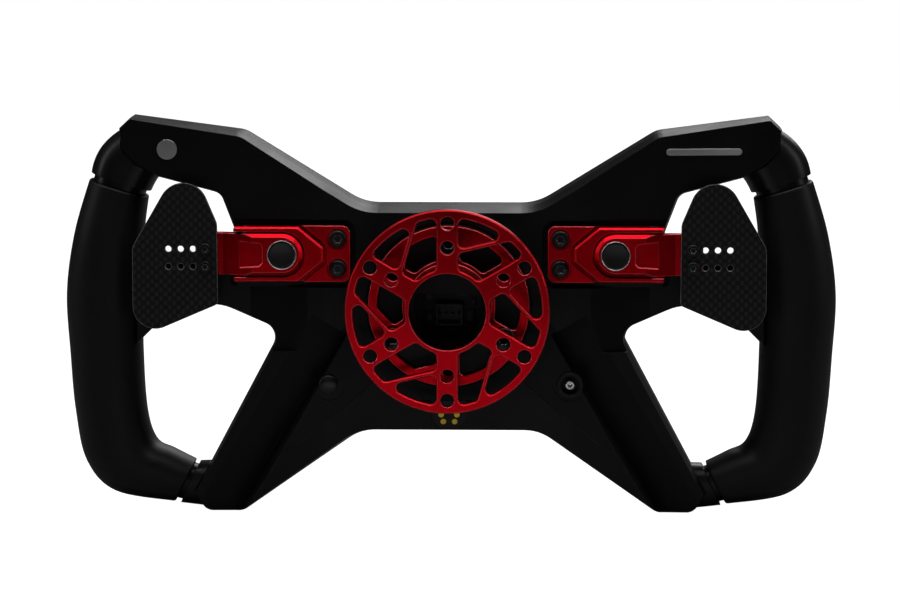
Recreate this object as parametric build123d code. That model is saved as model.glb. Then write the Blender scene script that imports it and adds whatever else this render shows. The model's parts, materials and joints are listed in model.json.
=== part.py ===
"""Sim-racing steering wheel with a quick-fit hub adapter and two magnetic paddle shifters.

Frame: origin at the centre of the hub plate's bolt circles, on its rear face.
+Y points away from the driver, +X to the driver's right, +Z up. Sizes in millimetres.
"""
from build123d import *
import math
import os

# ---------------------------------------------------------------- driving dimensions
# Depths along Y (0 is the hub plate's rear face, the driver is at -Y)
HUB_PLATE_THK = 4.0
HUB_TUBE_LEN = 15.0
HUB_DISC_THK = 4.0
SHELL_DEPTH = 25.0
FACE_PLATE_THK = 2.5
BEVEL_DEPTH = 11.0
BEVEL_ANGLE = 9.0
REAR_FLAT_HALF = 50.0
REAR_DROP = 8.0
WALL = 2.6
CAVITY_INSET = 5.6
SPOKE_SINK = 10.0

# Hub adapter
HUB_R = 40.3
HUB_BORE_R = 15.25
HUB_TUBE_WALL = 1.75
HUB_RIM_WIDTH = 3.1
HUB_SPOKE_HALF = 4.3
HUB_STRUT_THK = 1.6
HUB_STRUT_ROOT_R = 22.8
HUB_STRUT_LEAN = 41.0
HUB_WINDOW_FILLET = 2.2
DISC_POCKET_FILLET = 2.0
HUB_CHAMFER = 0.4
HUB_STRUT_BITE = 1.0
DISC_WEB = 1.5
HUB_DISC_R = 32.0
DISC_RIM_WIDTH = 3.4
HUB_HOLE_R = 2.75
PCD_LARGE = 70.0
PCD_SMALL = 50.8
HUB_SCREW_R = 2.5
HUB_SCREW_HEAD_R = 4.3
HUB_SCREW_HEAD_H = 3.2
HUB_SCREW_GRIP = 9.0
HUB_SOCKET_R = 2.2
HUB_SOCKET_FLOOR = 1.0
HUB_BOSS_R = 6.0
SHELL_BORE_R = 14.0
SHELL_BORE_TOP = 4.4
SEAT_GROOVE_WIDTH = 0.9
SEAT_GROOVE_GAP = 0.3
SEAT_GROOVE_DEPTH = 0.7

# Body outline, driver's right half, from the top centre clockwise (X, Z) with corner radii
SEAM_TOP = [(132.3, 69.5), (131.5, 61.0), (125.5, 55.0), (116.5, 50.0)]
SEAM_LOW = [(98.0, -68.0), (103.2, -77.0)]
HALF_OUTLINE = (
    [((34.7, 38.6), 22.0), ((82.6, 68.0), 10.0), ((127.6, 73.9), 0.0)]
    + [(point, 0.0) for point in SEAM_TOP]
    + [((91.8, 43.5), 5.0), ((81.3, 16.0), 4.0), ((126.0, 16.0), 0.0), ((126.0, -17.5), 0.0)]
    + [((117.5, -9.0), 6.0), ((95.2, 0.4), 20.0), ((68.0, -11.5), 6.0)]
    + [(point, 0.0) for point in SEAM_LOW]
    + [((98.5, -85.2), 5.5), ((83.3, -85.2), 6.0), ((35.8, -52.0), 18.0)]
)
RIM_HALF = 135.0
FACET_LINE = ((54.6, -3.8), (92.8, -67.8))
FACET_ANGLE = 22.0
FACET_WIDTH = 16.0
FACET_RUN_OUT = 25.0
WEDGE_CORNERS = [(40.0, -7.0), (70.3, -44.9), (61.6, -57.6), (29.6, -31.3)]
WEDGE_DEPTH = 2.4
ROOT_X = (55.0, 80.0)
SPOKE_X = (83.0, 88.0)
SPOKE_Z = (-19.0, 17.0)
TENON_Z = (-6.0, 12.0)
TENON_X = (120.0, 133.0)
TENON_DEPTH = 11.0

# Grips and their cores: (inner edge, outer edge) of each station, from the top down
GRIP_BACKSET = 5.0
GRIP_DEPTH = 30.0
GRIP_END_DEPTH = 25.5
GRIP_STATIONS = [
    ((121.6, 41.6), (145.2, 48.8)), ((123.6, 26.0), (151.6, 27.0)), ((124.4, 3.0), (155.0, 3.0)),
    ((124.4, -22.0), (153.8, -22.0)), ((123.0, -45.5), (151.9, -45.5)), ((119.2, -57.6), (147.6, -66.0)),
    ((112.0, -61.6), (136.0, -78.4)), ((103.2, -66.0), (111.6, -82.7)),
]
ELBOW_STATIONS = [
    ((113.6, 51.6), (125.6, 71.8)), ((117.4, 49.4), (139.6, 62.4)), ((120.6, 43.8), (144.4, 51.4)),
]
NECK_STATIONS = [((101.6, -66.6), (109.4, -83.2)), ((95.0, -66.4), (97.0, -84.6))]
ELBOW_DEPTH = 24.0
NECK_DEPTH = 20.0
TANG_WIDTH = 11.0
TANG_DEPTH = 12.0
GROOVE_INSET = 1.6

# Paddle shifters
PADDLE_Z = 20.5
LEVER_HALF = 8.3
LEVER_CLEAR = 0.8
LEVER_END_X = 66.2
LEVER_OUT_X = 101.0
LEVER_PROUD = 6.0
LEVER_THK = 7.1
LEVER_STEP_X = (78.0, 90.0)
LEVER_TAIL_THK = 5.0
LEVER_CHAMFER = 1.3
WAIST_X = (74.0, 86.0)
WAIST_HALF = (4.5, 5.6)
WAIST_DEPTH = 2.2
WAIST_R = 2.0
BLADE_PROUD = 3.0
BLADE_THK = 2.0
BASE_FLANGE_X = 39.4
BASE_INNER_X = 49.8
BASE_OUTER_X = 85.6
BASE_SINK = 4.2
BASE_FLANGE_THK = 5.2
BASE_FLANGE_STEP = 0.15
BASE_FLANGE_R = 3.0
POCKET_CLEAR = 2.4
POCKET_R = 5.0
POCKET_END_X = 92.0
BASE_FLOOR_THK = 2.4
YOKE_ARM_THK = 1.95
YOKE_GROOVE = 1.2
YOKE_SHOULDER_X = 59.7
YOKE_TIP_HALF = 2.9
YOKE_CHAMFER = 0.7
YOKE_CORNER_R = 1.0
YOKE_OPEN = 8.0
YOKE_PROUD = 4.6
PIVOT_X = 81.2
PIVOT_SINK = 0.2
PIVOT_R = 1.5
PIVOT_RUNNING_CLEAR = 0.05
BASE_SCREW_X = 44.3
BASE_SCREW_SPACING = 11.9
BASE_SCREW_HEAD_R = 3.5
BASE_SCREW_HEAD_H = 2.0
BASE_SCREW_DOME = 1.2
BASE_SCREW_SEAT_CLEAR = 0.7
BASE_SCREW_SINK = 1.4
BASE_SCREW_BITE = 4.0
BASE_SOCKET_R = 1.4
BASE_SOCKET_FLOOR = 0.9
CAP_DISC_R = 5.8
CAP_DISC_SEAT = 1.2
CAP_DISC_PROUD = 0.6
CAP_RIM_WIDTH = 1.0
CAP_RIM_HEIGHT = 0.4
MAGNET_R = 4.0
MAGNET_THK = 2.4
SWITCH_SIZE = (12.8, 5.8, 6.5)
SWITCH_SHIFT = 2.0
PLUNGER_X = 60.6
PLUNGER_R = 1.0
PLUNGER_CLEAR = 0.3
PLUNGER_GAP = 0.35
BLADE_HOLE_R = 1.25
BLADE_ROWS_Z = (22.5, 15.5)
BLADE_SCREW_X = 96.9
BLADE_HOLE_PITCH = 4.9
BLADE_HOLE_COUNT = 3
BLADE_SCREW_HEAD_R = 2.4
BLADE_SCREW_HEAD_H = 1.5
BLADE_SCREW_DOME = 0.7
BLADE_SOCKET_R = 1.0
BLADE_SOCKET_FLOOR = 0.7
BLADE_OUTLINE = [
    ((104.2, 60.9), 9.8), ((126.0, 23.2), 8.0), ((126.0, -14.2), 9.0), ((92.0, 0.4), 2.0), ((92.2, 32.6), 6.0),
]

# Controls on the rear
REAR_BUTTON = (48.3, -32.3)
REAR_RECESS_R = 6.45
REAR_RECESS_DEPTH = 2.0
REAR_BUTTON_R = 3.75
REAR_BUTTON_PROUD = 0.4
REAR_BUTTON_TRAVEL = 0.8
REAR_BUTTON_DOME = 1.2
BUTTON_STEM_R = 1.9
STEM_CLEAR = 0.3
REAR_BUTTON_LENGTH = 6.2
REAR_SWITCH_GAP = 0.8
REAR_SWITCH_HALF = 3.0
SOCKET_R = (5.2, 3.7, 1.9)
SOCKET_LENGTH = 10.0
SOCKET_SUNK = 0.6
SOCKET_FLOOR = 1.5
SOCKET_CORE_SUNK = 1.6

# Magnetic dock at the bottom
DOCK_HALF = 6.9
DOCK_Z = (-50.0, -38.5)
DOCK_DEPTH = 6.0
DOCK_R = 5.0
DOCK_SUNK = 0.8
DOCK_PIN_SUNK = 0.4
DOCK_PIN_FLOOR = 1.0
DOCK_PINS = [(2.3, -47.0), (3.2, -44.2)]
DOCK_PIN_R = 1.15
DOCK_SLOT = (22.0, 2.2, -36.6)

# Controls on the driver's side
BUTTONS = [(110.0, 60.5), (88.0, 55.5), (69.0, 43.0), (52.0, 27.0), (56.0, -24.0)]
KNOBS = [(24.0, 14.0), (29.0, -34.0)]
CAP_R = 5.5
CAP_HEIGHT = 5.0
CAP_TRAVEL = 0.9
CAP_DOME = 1.0
BEZEL_R = 7.9
BEZEL_HEIGHT = 2.8
BEZEL_CHAMFER = 0.7
CAP_CLEAR = 0.35
STEM_LENGTH = 8.0
SWITCH_R = 5.2
SWITCH_DEPTH = 8.0
SWITCH_FLOOR = 1.0
KNOB_R = 8.5
KNOB_HEIGHT = 12.0
KNOB_GAP = 0.6
KNOB_FLUTES = 18
KNOB_FLUTE_R = 0.9
KNOB_FLUTE_OUT = 0.2
KNOB_SKIRT = 1.5
KNOB_CHAMFER = 1.0
KNOB_MARK = (1.0, 0.5, 2.0)
ENCODER_SIZE = 12.0
ENCODER_FLOOR = 1.5
SHAFT_R = 3.0
SHAFT_CLEAR = 0.06
SHAFT_PLATE_CLEAR = 0.5
SHAFT_SHORT = 2.0

# Electronics and fasteners
BOARD_SIZE = (103.0, 58.0)
BOARD_CENTRE_Z = -8.0
BOARD_THK = 1.6
BOARD_CORNER_R = 3.0
BOSS_END = 1.0
HEADER_SIZE = (10.6, 8.6, 6.0)
HEADER_Z = -4.4
HEADER_WALL = 0.8
HEADER_FLOOR = 1.0
HEADER_PINS = 4
HEADER_PITCH = 2.5
HEADER_PIN_HALF = 0.3
PLATE_SCREWS = [(122.0, 64.6), (73.0, 56.5), (62.0, 2.0), (86.0, -71.0)]
PLATE_SCREW_R = 1.5
PLATE_SCREW_HEAD_R = 3.0
PLATE_SCREW_HEAD_H = 1.5
PLATE_SCREW_LENGTH = 12.0
PLATE_SOCKET = 1.0
PLATE_BOSS_R = 3.8
BADGE_DISC = (112.7, 61.4, 4.0)
BADGE_BAR = (101.2, 61.0, 30.0, 2.6)
BADGE_PROUD = 0.4
BADGE_SUNK = 0.6

# ---------------------------------------------------------------- derived sizes
YOKE_HALF = LEVER_HALF + LEVER_CLEAR + YOKE_ARM_THK
BASE_HALF = YOKE_HALF + BASE_FLANGE_STEP
TUBE_REAR = -HUB_PLATE_THK
DISC_REAR = TUBE_REAR - HUB_TUBE_LEN
SHELL_REAR = DISC_REAR - HUB_DISC_THK
SHELL_FRONT = SHELL_REAR - SHELL_DEPTH
PLATE_FRONT = SHELL_FRONT - FACE_PLATE_THK
BEVEL_START = SHELL_REAR - BEVEL_DEPTH
SPOKE_REAR_Y = SHELL_REAR - SPOKE_SINK
GRIP_Y = SHELL_FRONT + GRIP_BACKSET
BASE_FLOOR_Y = SHELL_REAR - BASE_SINK
YOKE_REAR_Y = SHELL_REAR + YOKE_PROUD
PIVOT_Y = SHELL_REAR - PIVOT_SINK
LEVER_REAR_Y = SHELL_REAR + LEVER_PROUD
LEVER_FRONT_Y = LEVER_REAR_Y - LEVER_THK
BLADE_REAR_Y = SHELL_REAR + BLADE_PROUD
BLADE_FRONT_Y = BLADE_REAR_Y - BLADE_THK
BOARD_REAR = SHELL_REAR - HUB_SCREW_GRIP - BOSS_END
BEHIND = 60.0
SPOKE_ANGLES = [30 + 60 * k for k in range(6)]
HUB_SCREW_ANGLES = (90, 210, 330)


# ---------------------------------------------------------------- drawing helpers
def slab(sketch, y_front, y_rear):
    """Solid of a sketch drawn in X and Z, between two depths."""
    placed = Plane.XZ.offset(-y_rear) * sketch
    return extrude(placed, amount=y_rear - y_front, dir=(0, -1, 0))


def rod(x, z, radius, y_front, y_rear):
    """Round bar along Y."""
    return slab(Pos(x, z) * Circle(radius), y_front, y_rear)


def block(x_span, y_span, z_span):
    """Box between two corners."""
    sizes = [high - low for low, high in (x_span, y_span, z_span)]
    centre = [(low + high) / 2 for low, high in (x_span, y_span, z_span)]
    return Pos(*centre) * Box(*sizes)


def filleted(corners):
    """Closed face from (point, radius) corners."""
    path = FilletPolyline(*[c[0] for c in corners], radius=[c[1] for c in corners], close=True)
    return make_face(path)


def rounded(sketch, radius):
    """Sketch whose outward corners are rounded, however sharp they are."""
    faces = Sketch()
    for face in sketch.faces():
        shrunk = offset(face, amount=-radius, kind=Kind.INTERSECTION)
        faces += offset(shrunk, amount=radius, kind=Kind.ARC)
    return faces


def polar(radius, angle):
    """Point on a circle about the hub axis."""
    return radius * math.cos(math.radians(angle)), radius * math.sin(math.radians(angle))


def rear_y(x):
    """Depth of the shell's rear surface at a distance from the centre."""
    return SHELL_REAR - REAR_DROP * max(0.0, abs(x) - REAR_FLAT_HALF) / (RIM_HALF - REAR_FLAT_HALF)


def under_rear(shift):
    """Everything below the shell's rear surface moved by shift along Y."""
    outer = RIM_HALF + REAR_FLAT_HALF
    edge_y = rear_y(outer) + shift
    flat_y = SHELL_REAR + shift
    points = [(-outer, -BEHIND), (-outer, edge_y), (-REAR_FLAT_HALF, flat_y), (REAR_FLAT_HALF, flat_y),
              (outer, edge_y), (outer, -BEHIND)]
    return extrude(make_face(Polyline(*points, close=True)), amount=RIM_HALF, both=True)


def both_sides(shape):
    """A shape and its mirror image as one group."""
    return shape + mirror(shape, about=Plane.YZ)


def tube_station(inner, outer, depth, shrink=0.0, width=None):
    """Rounded section of a grip between its inner and outer edge points."""
    span = math.dist(inner, outer)
    wide = (width or span) - 2 * shrink
    deep = depth - 2 * shrink
    centre = ((inner[0] + outer[0]) / 2, GRIP_Y, (inner[1] + outer[1]) / 2)
    across = ((outer[0] - inner[0]) / span, 0, (outer[1] - inner[1]) / span)
    along = (across[2], 0, -across[0])
    plane = Plane(origin=centre, x_dir=across, z_dir=along)
    return plane * RectangleRounded(wide, deep, 0.44 * min(wide, deep))


# ---------------------------------------------------------------- body
def body_sketch():
    """Outline of the shell and face plate."""
    left = [((-x, z), radius) for (x, z), radius in reversed(HALF_OUTLINE)]
    return filleted(HALF_OUTLINE + left)


def paddle_pocket(grow, y_low, y_high):
    """Space that a paddle base sits in, on the driver's right."""
    low, high = PADDLE_Z - BASE_HALF - POCKET_CLEAR - grow, PADDLE_Z + BASE_HALF + POCKET_CLEAR + grow
    inner, outer = BASE_FLANGE_X - POCKET_CLEAR - grow, POCKET_END_X + grow
    corners = [((inner, low), POCKET_R), ((outer, low), 0), ((outer, high), 0), ((inner, high), POCKET_R)]
    return slab(filleted(corners), y_low, y_high)


def dock_sketch(clear=0.0):
    """U-shaped outline of the dock insert."""
    half = DOCK_HALF + clear
    low, high = DOCK_Z[0] - clear, DOCK_Z[1] + clear
    corners = [((-half, high), 0.0), ((half, high), 0.0), ((half, low), DOCK_R), ((-half, low), DOCK_R)]
    return filleted(corners)


def lower_arm_facet():
    """Space above the sloping flank of the right lower arm."""
    start, end = [Vector(x, rear_y(x), z) for x, z in FACET_LINE]
    along = (end - start).normalized()
    outward = along.cross(Vector(0, -1, 0)).normalized()
    tilt = math.radians(FACET_ANGLE)
    down = outward * math.cos(tilt) - Vector(0, 1, 0) * math.sin(tilt)
    flank = Plane(origin=start, x_dir=along, z_dir=along.cross(down))
    length = (end - start).length + FACET_RUN_OUT
    return flank * Pos(length / 2, FACET_WIDTH / 2, FACET_WIDTH / 2) * Box(length, FACET_WIDTH, FACET_WIDTH)


def lower_arm_wedge():
    """Shallow wedge sunk into the right lower arm, deepest beside the hub."""
    hub_top, arm_top, arm_low, hub_low = [Vector(x, rear_y(x), z) for x, z in WEDGE_CORNERS]
    hub_middle = (hub_top + hub_low) / 2 - Vector(0, WEDGE_DEPTH, 0)
    across = (arm_top - arm_low).normalized()
    normal = across.cross(hub_middle - arm_low).normalized()
    floor = Plane(origin=arm_low, x_dir=across, z_dir=normal if normal.Y > 0 else normal * -1)
    above = floor * Pos(0, 0, BEHIND / 2) * Box(2 * BEHIND, 2 * BEHIND, BEHIND)
    outline = make_face(Polyline(*WEDGE_CORNERS, close=True)) - Circle(HUB_DISC_R + WEDGE_DEPTH)
    return slab(outline, -BEHIND, BEHIND) & above


def spoke_ramps():
    """Space above the right side spoke, which lies lower than the body."""
    shapes = []
    for (high_x, low_x), z_top in ((ROOT_X, PADDLE_Z - BASE_HALF - POCKET_CLEAR), (SPOKE_X, SPOKE_Z[1])):
        ramp = make_face(Polyline((high_x, BEHIND), (high_x, SHELL_REAR), (low_x, SPOKE_REAR_Y),
                                  (RIM_HALF, SPOKE_REAR_Y), (RIM_HALF, BEHIND), close=True))
        shapes.append(Pos(0, 0, SPOKE_Z[0]) * extrude(ramp, amount=z_top - SPOKE_Z[0]))
    return shapes


def rear_cuts(shift):
    """Everything cut from the rear surface on both sides, moved by shift along Y."""
    cuts = lower_arm_facet() + lower_arm_wedge() + spoke_ramps()
    return Pos(0, shift, 0) * both_sides(cuts)


def shell_outer():
    """Shell before it is hollowed: straight sides, a bevel, and arms that fall away."""
    outline = body_sketch()
    sides = slab(outline, SHELL_FRONT, BEVEL_START)
    start = Plane.XZ.offset(-BEVEL_START) * outline
    bevel = extrude(start, amount=-BEVEL_DEPTH, taper=BEVEL_ANGLE)
    solid = (sides + bevel) & under_rear(0)
    return solid - rear_cuts(0)


def shell_cavity():
    """Hollow inside the shell, with walls left round the paddle pockets and screws."""
    inner = offset(body_sketch(), amount=-CAVITY_INSET, kind=Kind.INTERSECTION)
    cavity = slab(inner, SHELL_FRONT, SHELL_REAR) & under_rear(-WALL)
    keep = paddle_pocket(WALL, BASE_FLOOR_Y - WALL, 0)
    keep += block((SPOKE_X[0] - WALL, RIM_HALF), (-BEHIND, 0), SPOKE_Z)
    for x, z in PLATE_SCREWS:
        keep += rod(x, z, PLATE_BOSS_R, -BEHIND, 0)
    cavity = cavity - both_sides(keep) - rear_cuts(-WALL)
    cavity -= slab(dock_sketch(WALL), SHELL_REAR - DOCK_DEPTH - WALL, SHELL_REAR)
    for angle in HUB_SCREW_ANGLES:
        x, z = polar(PCD_SMALL / 2, angle)
        cavity -= rod(x, z, HUB_BOSS_R, BOARD_REAR, SHELL_REAR)
    return cavity


def tenon():
    """End of the side spoke, housed in the grip."""
    mid = (SHELL_FRONT + SPOKE_REAR_Y) / 2
    return block(TENON_X, (mid - TENON_DEPTH / 2, mid + TENON_DEPTH / 2), TENON_Z)


def make_rear_shell():
    """Hollow rear shell with pockets, bores and screw bosses."""
    shell = shell_outer() - shell_cavity()
    cuts = both_sides(paddle_pocket(0.0, BASE_FLOOR_Y, 0))
    below = Pos(0, SHELL_BORE_TOP - SHELL_BORE_R) * Rectangle(3 * SHELL_BORE_R, 2 * SHELL_BORE_R)
    cuts += slab(Circle(SHELL_BORE_R) & below, -BEHIND, 0)
    groove_r = HUB_DISC_R + SEAT_GROOVE_GAP
    cuts += slab(Circle(groove_r + SEAT_GROOVE_WIDTH) - Circle(groove_r), SHELL_REAR - SEAT_GROOVE_DEPTH, 0)
    cuts += slab(dock_sketch(), SHELL_REAR - DOCK_DEPTH, 0)
    width, height, slot_z = DOCK_SLOT
    cuts += block((-width / 2, width / 2), (SHELL_REAR - WALL / 2, 0), (slot_z - height, slot_z))
    for angle in HUB_SCREW_ANGLES:
        x, z = polar(PCD_SMALL / 2, angle)
        cuts += rod(x, z, HUB_SCREW_R, SHELL_REAR - HUB_SCREW_GRIP, 0)
    for sign in (1, -1):
        x, z = sign * REAR_BUTTON[0], REAR_BUTTON[1]
        cuts += rod(x, z, REAR_RECESS_R, SHELL_REAR - REAR_RECESS_DEPTH, 0)
        bore = BUTTON_STEM_R + STEM_CLEAR if sign > 0 else SOCKET_R[0]
        cuts += rod(x, z, bore, -BEHIND, 0)
        cuts += rod(sign * PLUNGER_X, PADDLE_Z, PLUNGER_R + PLUNGER_CLEAR, -BEHIND, 0)
        for screw_x, screw_z in PLATE_SCREWS:
            cuts += rod(sign * screw_x, screw_z, PLATE_SCREW_R, -BEHIND, PLATE_FRONT + PLATE_SCREW_LENGTH)
        for screw_z in base_screw_rows():
            cuts += rod(sign * BASE_SCREW_X, screw_z, PLATE_SCREW_R, BASE_FLOOR_Y - BASE_SCREW_BITE, 0)
    return shell - cuts - make_badge_disc() - make_badge_bar() + both_sides(tenon())


def make_front_plate():
    """Flat face plate that closes the shell on the driver's side."""
    plate = slab(body_sketch(), PLATE_FRONT, SHELL_FRONT)
    for sign in (1, -1):
        for x, z in BUTTONS:
            plate -= rod(sign * x, z, BUTTON_STEM_R + STEM_CLEAR, -BEHIND, 0)
        for x, z in KNOBS:
            plate -= rod(sign * x, z, SHAFT_R + SHAFT_PLATE_CLEAR, -BEHIND, 0)
        for x, z in PLATE_SCREWS:
            plate -= rod(sign * x, z, PLATE_SCREW_R, -BEHIND, 0)
            plate -= rod(sign * x, z, PLATE_SCREW_HEAD_R, -BEHIND, PLATE_FRONT + PLATE_SCREW_HEAD_H)
    return plate


def make_plate_screws():
    """Countersunk screws through the face plate."""
    group = []
    for sign in (1, -1):
        for x, z in PLATE_SCREWS:
            shank = rod(sign * x, z, PLATE_SCREW_R, PLATE_FRONT, PLATE_FRONT + PLATE_SCREW_LENGTH)
            head = rod(sign * x, z, PLATE_SCREW_HEAD_R, PLATE_FRONT, PLATE_FRONT + PLATE_SCREW_HEAD_H)
            socket = rod(sign * x, z, PLATE_SOCKET, PLATE_FRONT, PLATE_FRONT + PLATE_SOCKET)
            group.append(shank + head - socket)
    return Compound(children=group)


# ---------------------------------------------------------------- grips
def tang_sections():
    """Sections of the bar that runs through a grip."""
    return [tube_station(a, b, TANG_DEPTH, width=TANG_WIDTH) for a, b in GRIP_STATIONS]


def make_grip():
    """Moulded grip on the driver's right."""
    middle = [tube_station(a, b, GRIP_DEPTH) for a, b in GRIP_STATIONS[1:-1]]
    top, low = [tube_station(*GRIP_STATIONS[k], GRIP_END_DEPTH) for k in (0, -1)]
    grip = loft([top, *middle, low]) - loft(tang_sections())
    return grip - slab(body_sketch(), PLATE_FRONT, SPOKE_REAR_Y) - tenon()


def make_grip_core():
    """Elbow, bar and lower neck in one casting, on the driver's right."""
    elbow = loft([tube_station(a, b, ELBOW_DEPTH) for a, b in ELBOW_STATIONS])
    neck = loft([tube_station(a, b, NECK_DEPTH) for a, b in NECK_STATIONS])
    tang = loft(tang_sections())
    top = loft([tube_station(*ELBOW_STATIONS[-1], ELBOW_DEPTH, GROOVE_INSET),
                tube_station(*GRIP_STATIONS[0], ELBOW_DEPTH, GROOVE_INSET)])
    low = loft([tube_station(*GRIP_STATIONS[-1], NECK_DEPTH, GROOVE_INSET),
                tube_station(*NECK_STATIONS[0], NECK_DEPTH, GROOVE_INSET)])
    core = elbow + top + tang + low + neck
    return core - slab(body_sketch(), -BEHIND * 2, BEHIND) - tenon()


# ---------------------------------------------------------------- hub
def eased(solid):
    """Solid with the rim and the windows of its rear face chamfered, but not its round holes."""
    rear = solid.faces().sort_by(Axis.Y)[-1]
    windows = [wire for wire in rear.inner_wires() if len(wire.edges()) > 1]
    return chamfer([edge for wire in [rear.outer_wire(), *windows] for edge in wire.edges()], HUB_CHAMFER)


def make_hub_adapter():
    """Rear plate with pinwheel windows, centre tube and front disc, in one piece."""
    tube_r = HUB_BORE_R + HUB_TUBE_WALL
    windows = Circle(HUB_R - HUB_RIM_WIDTH) - Circle(tube_r)
    pockets = Circle(HUB_DISC_R - DISC_RIM_WIDTH) - Circle(tube_r + DISC_WEB)
    holes = Sketch()
    disc_holes = Sketch()
    for angle in SPOKE_ANGLES:
        spoke = Rot(0, 0, angle) * Pos(HUB_R / 2, 0) * Rectangle(HUB_R, 2 * HUB_SPOKE_HALF)
        foot = Vector(*polar(HUB_STRUT_ROOT_R, angle))
        tip = Vector(*polar(HUB_R - HUB_RIM_WIDTH + HUB_STRUT_BITE, angle + HUB_STRUT_LEAN))
        lean = math.degrees(math.atan2(tip.Y - foot.Y, tip.X - foot.X))
        middle = (foot + tip) / 2
        strut = Pos(middle.X, middle.Y) * Rot(0, 0, lean) * Rectangle((tip - foot).length, HUB_STRUT_THK)
        filled = make_face(Polyline(foot, tip, Vector(*polar(HUB_R, angle)), close=True))
        windows = windows - spoke - strut
        pockets = pockets - spoke - strut - filled
        holes += Pos(*polar(PCD_SMALL / 2, angle)) * Circle(HUB_HOLE_R)
        holes += Pos(*polar(PCD_LARGE / 2, angle)) * Circle(HUB_HOLE_R)
        disc_holes += Pos(*polar(PCD_SMALL / 2, angle)) * Circle(HUB_HOLE_R)
    windows = rounded(windows, HUB_WINDOW_FILLET)
    pockets = rounded(pockets, DISC_POCKET_FILLET)
    plate = slab(Circle(HUB_R) - Circle(HUB_BORE_R) - windows - holes, TUBE_REAR, 0)
    tube = slab(Circle(tube_r) - Circle(HUB_BORE_R), DISC_REAR, TUBE_REAR)
    disc = slab(Circle(HUB_DISC_R) - Circle(HUB_BORE_R) - pockets - disc_holes, SHELL_REAR, DISC_REAR)
    return eased(plate + tube + disc)


def make_hub_screws():
    """Three socket screws that hold the adapter's disc to the shell."""
    group = []
    for angle in HUB_SCREW_ANGLES:
        x, z = polar(PCD_SMALL / 2, angle)
        head = rod(x, z, HUB_SCREW_HEAD_R, DISC_REAR, DISC_REAR + HUB_SCREW_HEAD_H)
        shank = rod(x, z, HUB_SCREW_R, SHELL_REAR - HUB_SCREW_GRIP, DISC_REAR)
        socket = slab(Pos(x, z) * RegularPolygon(HUB_SOCKET_R, 6), DISC_REAR + HUB_SOCKET_FLOOR, 0)
        group.append(head + shank - socket)
    return Compound(children=group)


# ---------------------------------------------------------------- paddles
def base_screw_rows():
    """Heights of the two screws in a paddle base."""
    return PADDLE_Z + BASE_SCREW_SPACING / 2, PADDLE_Z - BASE_SCREW_SPACING / 2


def base_screw_seat():
    """Depth that the heads of the base screws rest on."""
    return BASE_FLOOR_Y + BASE_FLANGE_THK - BASE_SCREW_SINK


def lever_channel():
    """Outline of the space that the lever turns in, seen from the rear."""
    half = LEVER_HALF + LEVER_CLEAR
    length = BASE_OUTER_X + half - LEVER_END_X
    straight = Pos(LEVER_END_X + length / 2, PADDLE_Z) * Rectangle(length, 2 * half)
    return straight + Pos(LEVER_END_X, PADDLE_Z) * Circle(half)


def make_paddle_base():
    """Bracket with a flange, a floor and a six-sided yoke round the lever."""
    low, high = PADDLE_Z - BASE_HALF, PADDLE_Z + BASE_HALF
    flange = filleted([((BASE_FLANGE_X, low), BASE_FLANGE_R), ((YOKE_SHOULDER_X, low), 0.0),
                       ((YOKE_SHOULDER_X, high), 0.0), ((BASE_FLANGE_X, high), BASE_FLANGE_R)])
    upper = [(BASE_OUTER_X, YOKE_HALF), (YOKE_SHOULDER_X, YOKE_HALF), (BASE_INNER_X, YOKE_TIP_HALF)]
    lower = [(x, -z) for x, z in reversed(upper)]
    yoke = filleted([((x, PADDLE_Z + z), YOKE_CORNER_R) for x, z in upper + lower])
    raised = slab(yoke, BASE_FLOOR_Y, YOKE_REAR_Y)
    raised = chamfer(raised.faces().sort_by(Axis.Y)[-1].edges(), YOKE_CHAMFER)
    groove = slab(offset(yoke, amount=YOKE_GROOVE) & flange, BASE_FLOOR_Y + BASE_FLOOR_THK, 0)
    base = slab(flange, BASE_FLOOR_Y, BASE_FLOOR_Y + BASE_FLANGE_THK) - groove + raised
    base -= slab(lever_channel(), BASE_FLOOR_Y + BASE_FLOOR_THK, 0)
    open_end = (BASE_OUTER_X - YOKE_OPEN, RIM_HALF)
    half = LEVER_HALF + LEVER_CLEAR
    base -= block(open_end, (-BEHIND, 0), (PADDLE_Z - half, PADDLE_Z + half))
    base -= rod(LEVER_END_X, PADDLE_Z, MAGNET_R, BASE_FLOOR_Y, 0)
    base -= rod(PLUNGER_X, PADDLE_Z, PLUNGER_R + PLUNGER_CLEAR, BASE_FLOOR_Y, 0)
    seat_r = BASE_SCREW_HEAD_R + BASE_SCREW_SEAT_CLEAR
    for z in base_screw_rows():
        base -= rod(BASE_SCREW_X, z, PLATE_SCREW_R, BASE_FLOOR_Y, 0)
        base -= rod(BASE_SCREW_X, z, seat_r, base_screw_seat(), 0)
    return base - make_pivot_pin()


def make_base_screws():
    """Button-head screws that hold a paddle base."""
    group = []
    seat = base_screw_seat()
    for z in base_screw_rows():
        head = rod(BASE_SCREW_X, z, BASE_SCREW_HEAD_R, seat, seat + BASE_SCREW_HEAD_H)
        head = fillet(head.faces().sort_by(Axis.Y)[-1].edges(), BASE_SCREW_DOME)
        shank = rod(BASE_SCREW_X, z, PLATE_SCREW_R, BASE_FLOOR_Y - BASE_SCREW_BITE, seat)
        socket = slab(Pos(BASE_SCREW_X, z) * RegularPolygon(BASE_SOCKET_R, 6), seat + BASE_SOCKET_FLOOR, 0)
        group.append(head + shank - socket)
    return Compound(children=group)


def make_pivot_pin():
    """Pin along Z that the lever turns on."""
    return Pos(PIVOT_X, PIVOT_Y, PADDLE_Z) * Cylinder(PIVOT_R, 2 * YOKE_HALF)


def make_fixed_magnet():
    """Magnet in the base that holds the lever at rest."""
    return rod(LEVER_END_X, PADDLE_Z, MAGNET_R, BASE_FLOOR_Y, BASE_FLOOR_Y + MAGNET_THK)


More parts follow.
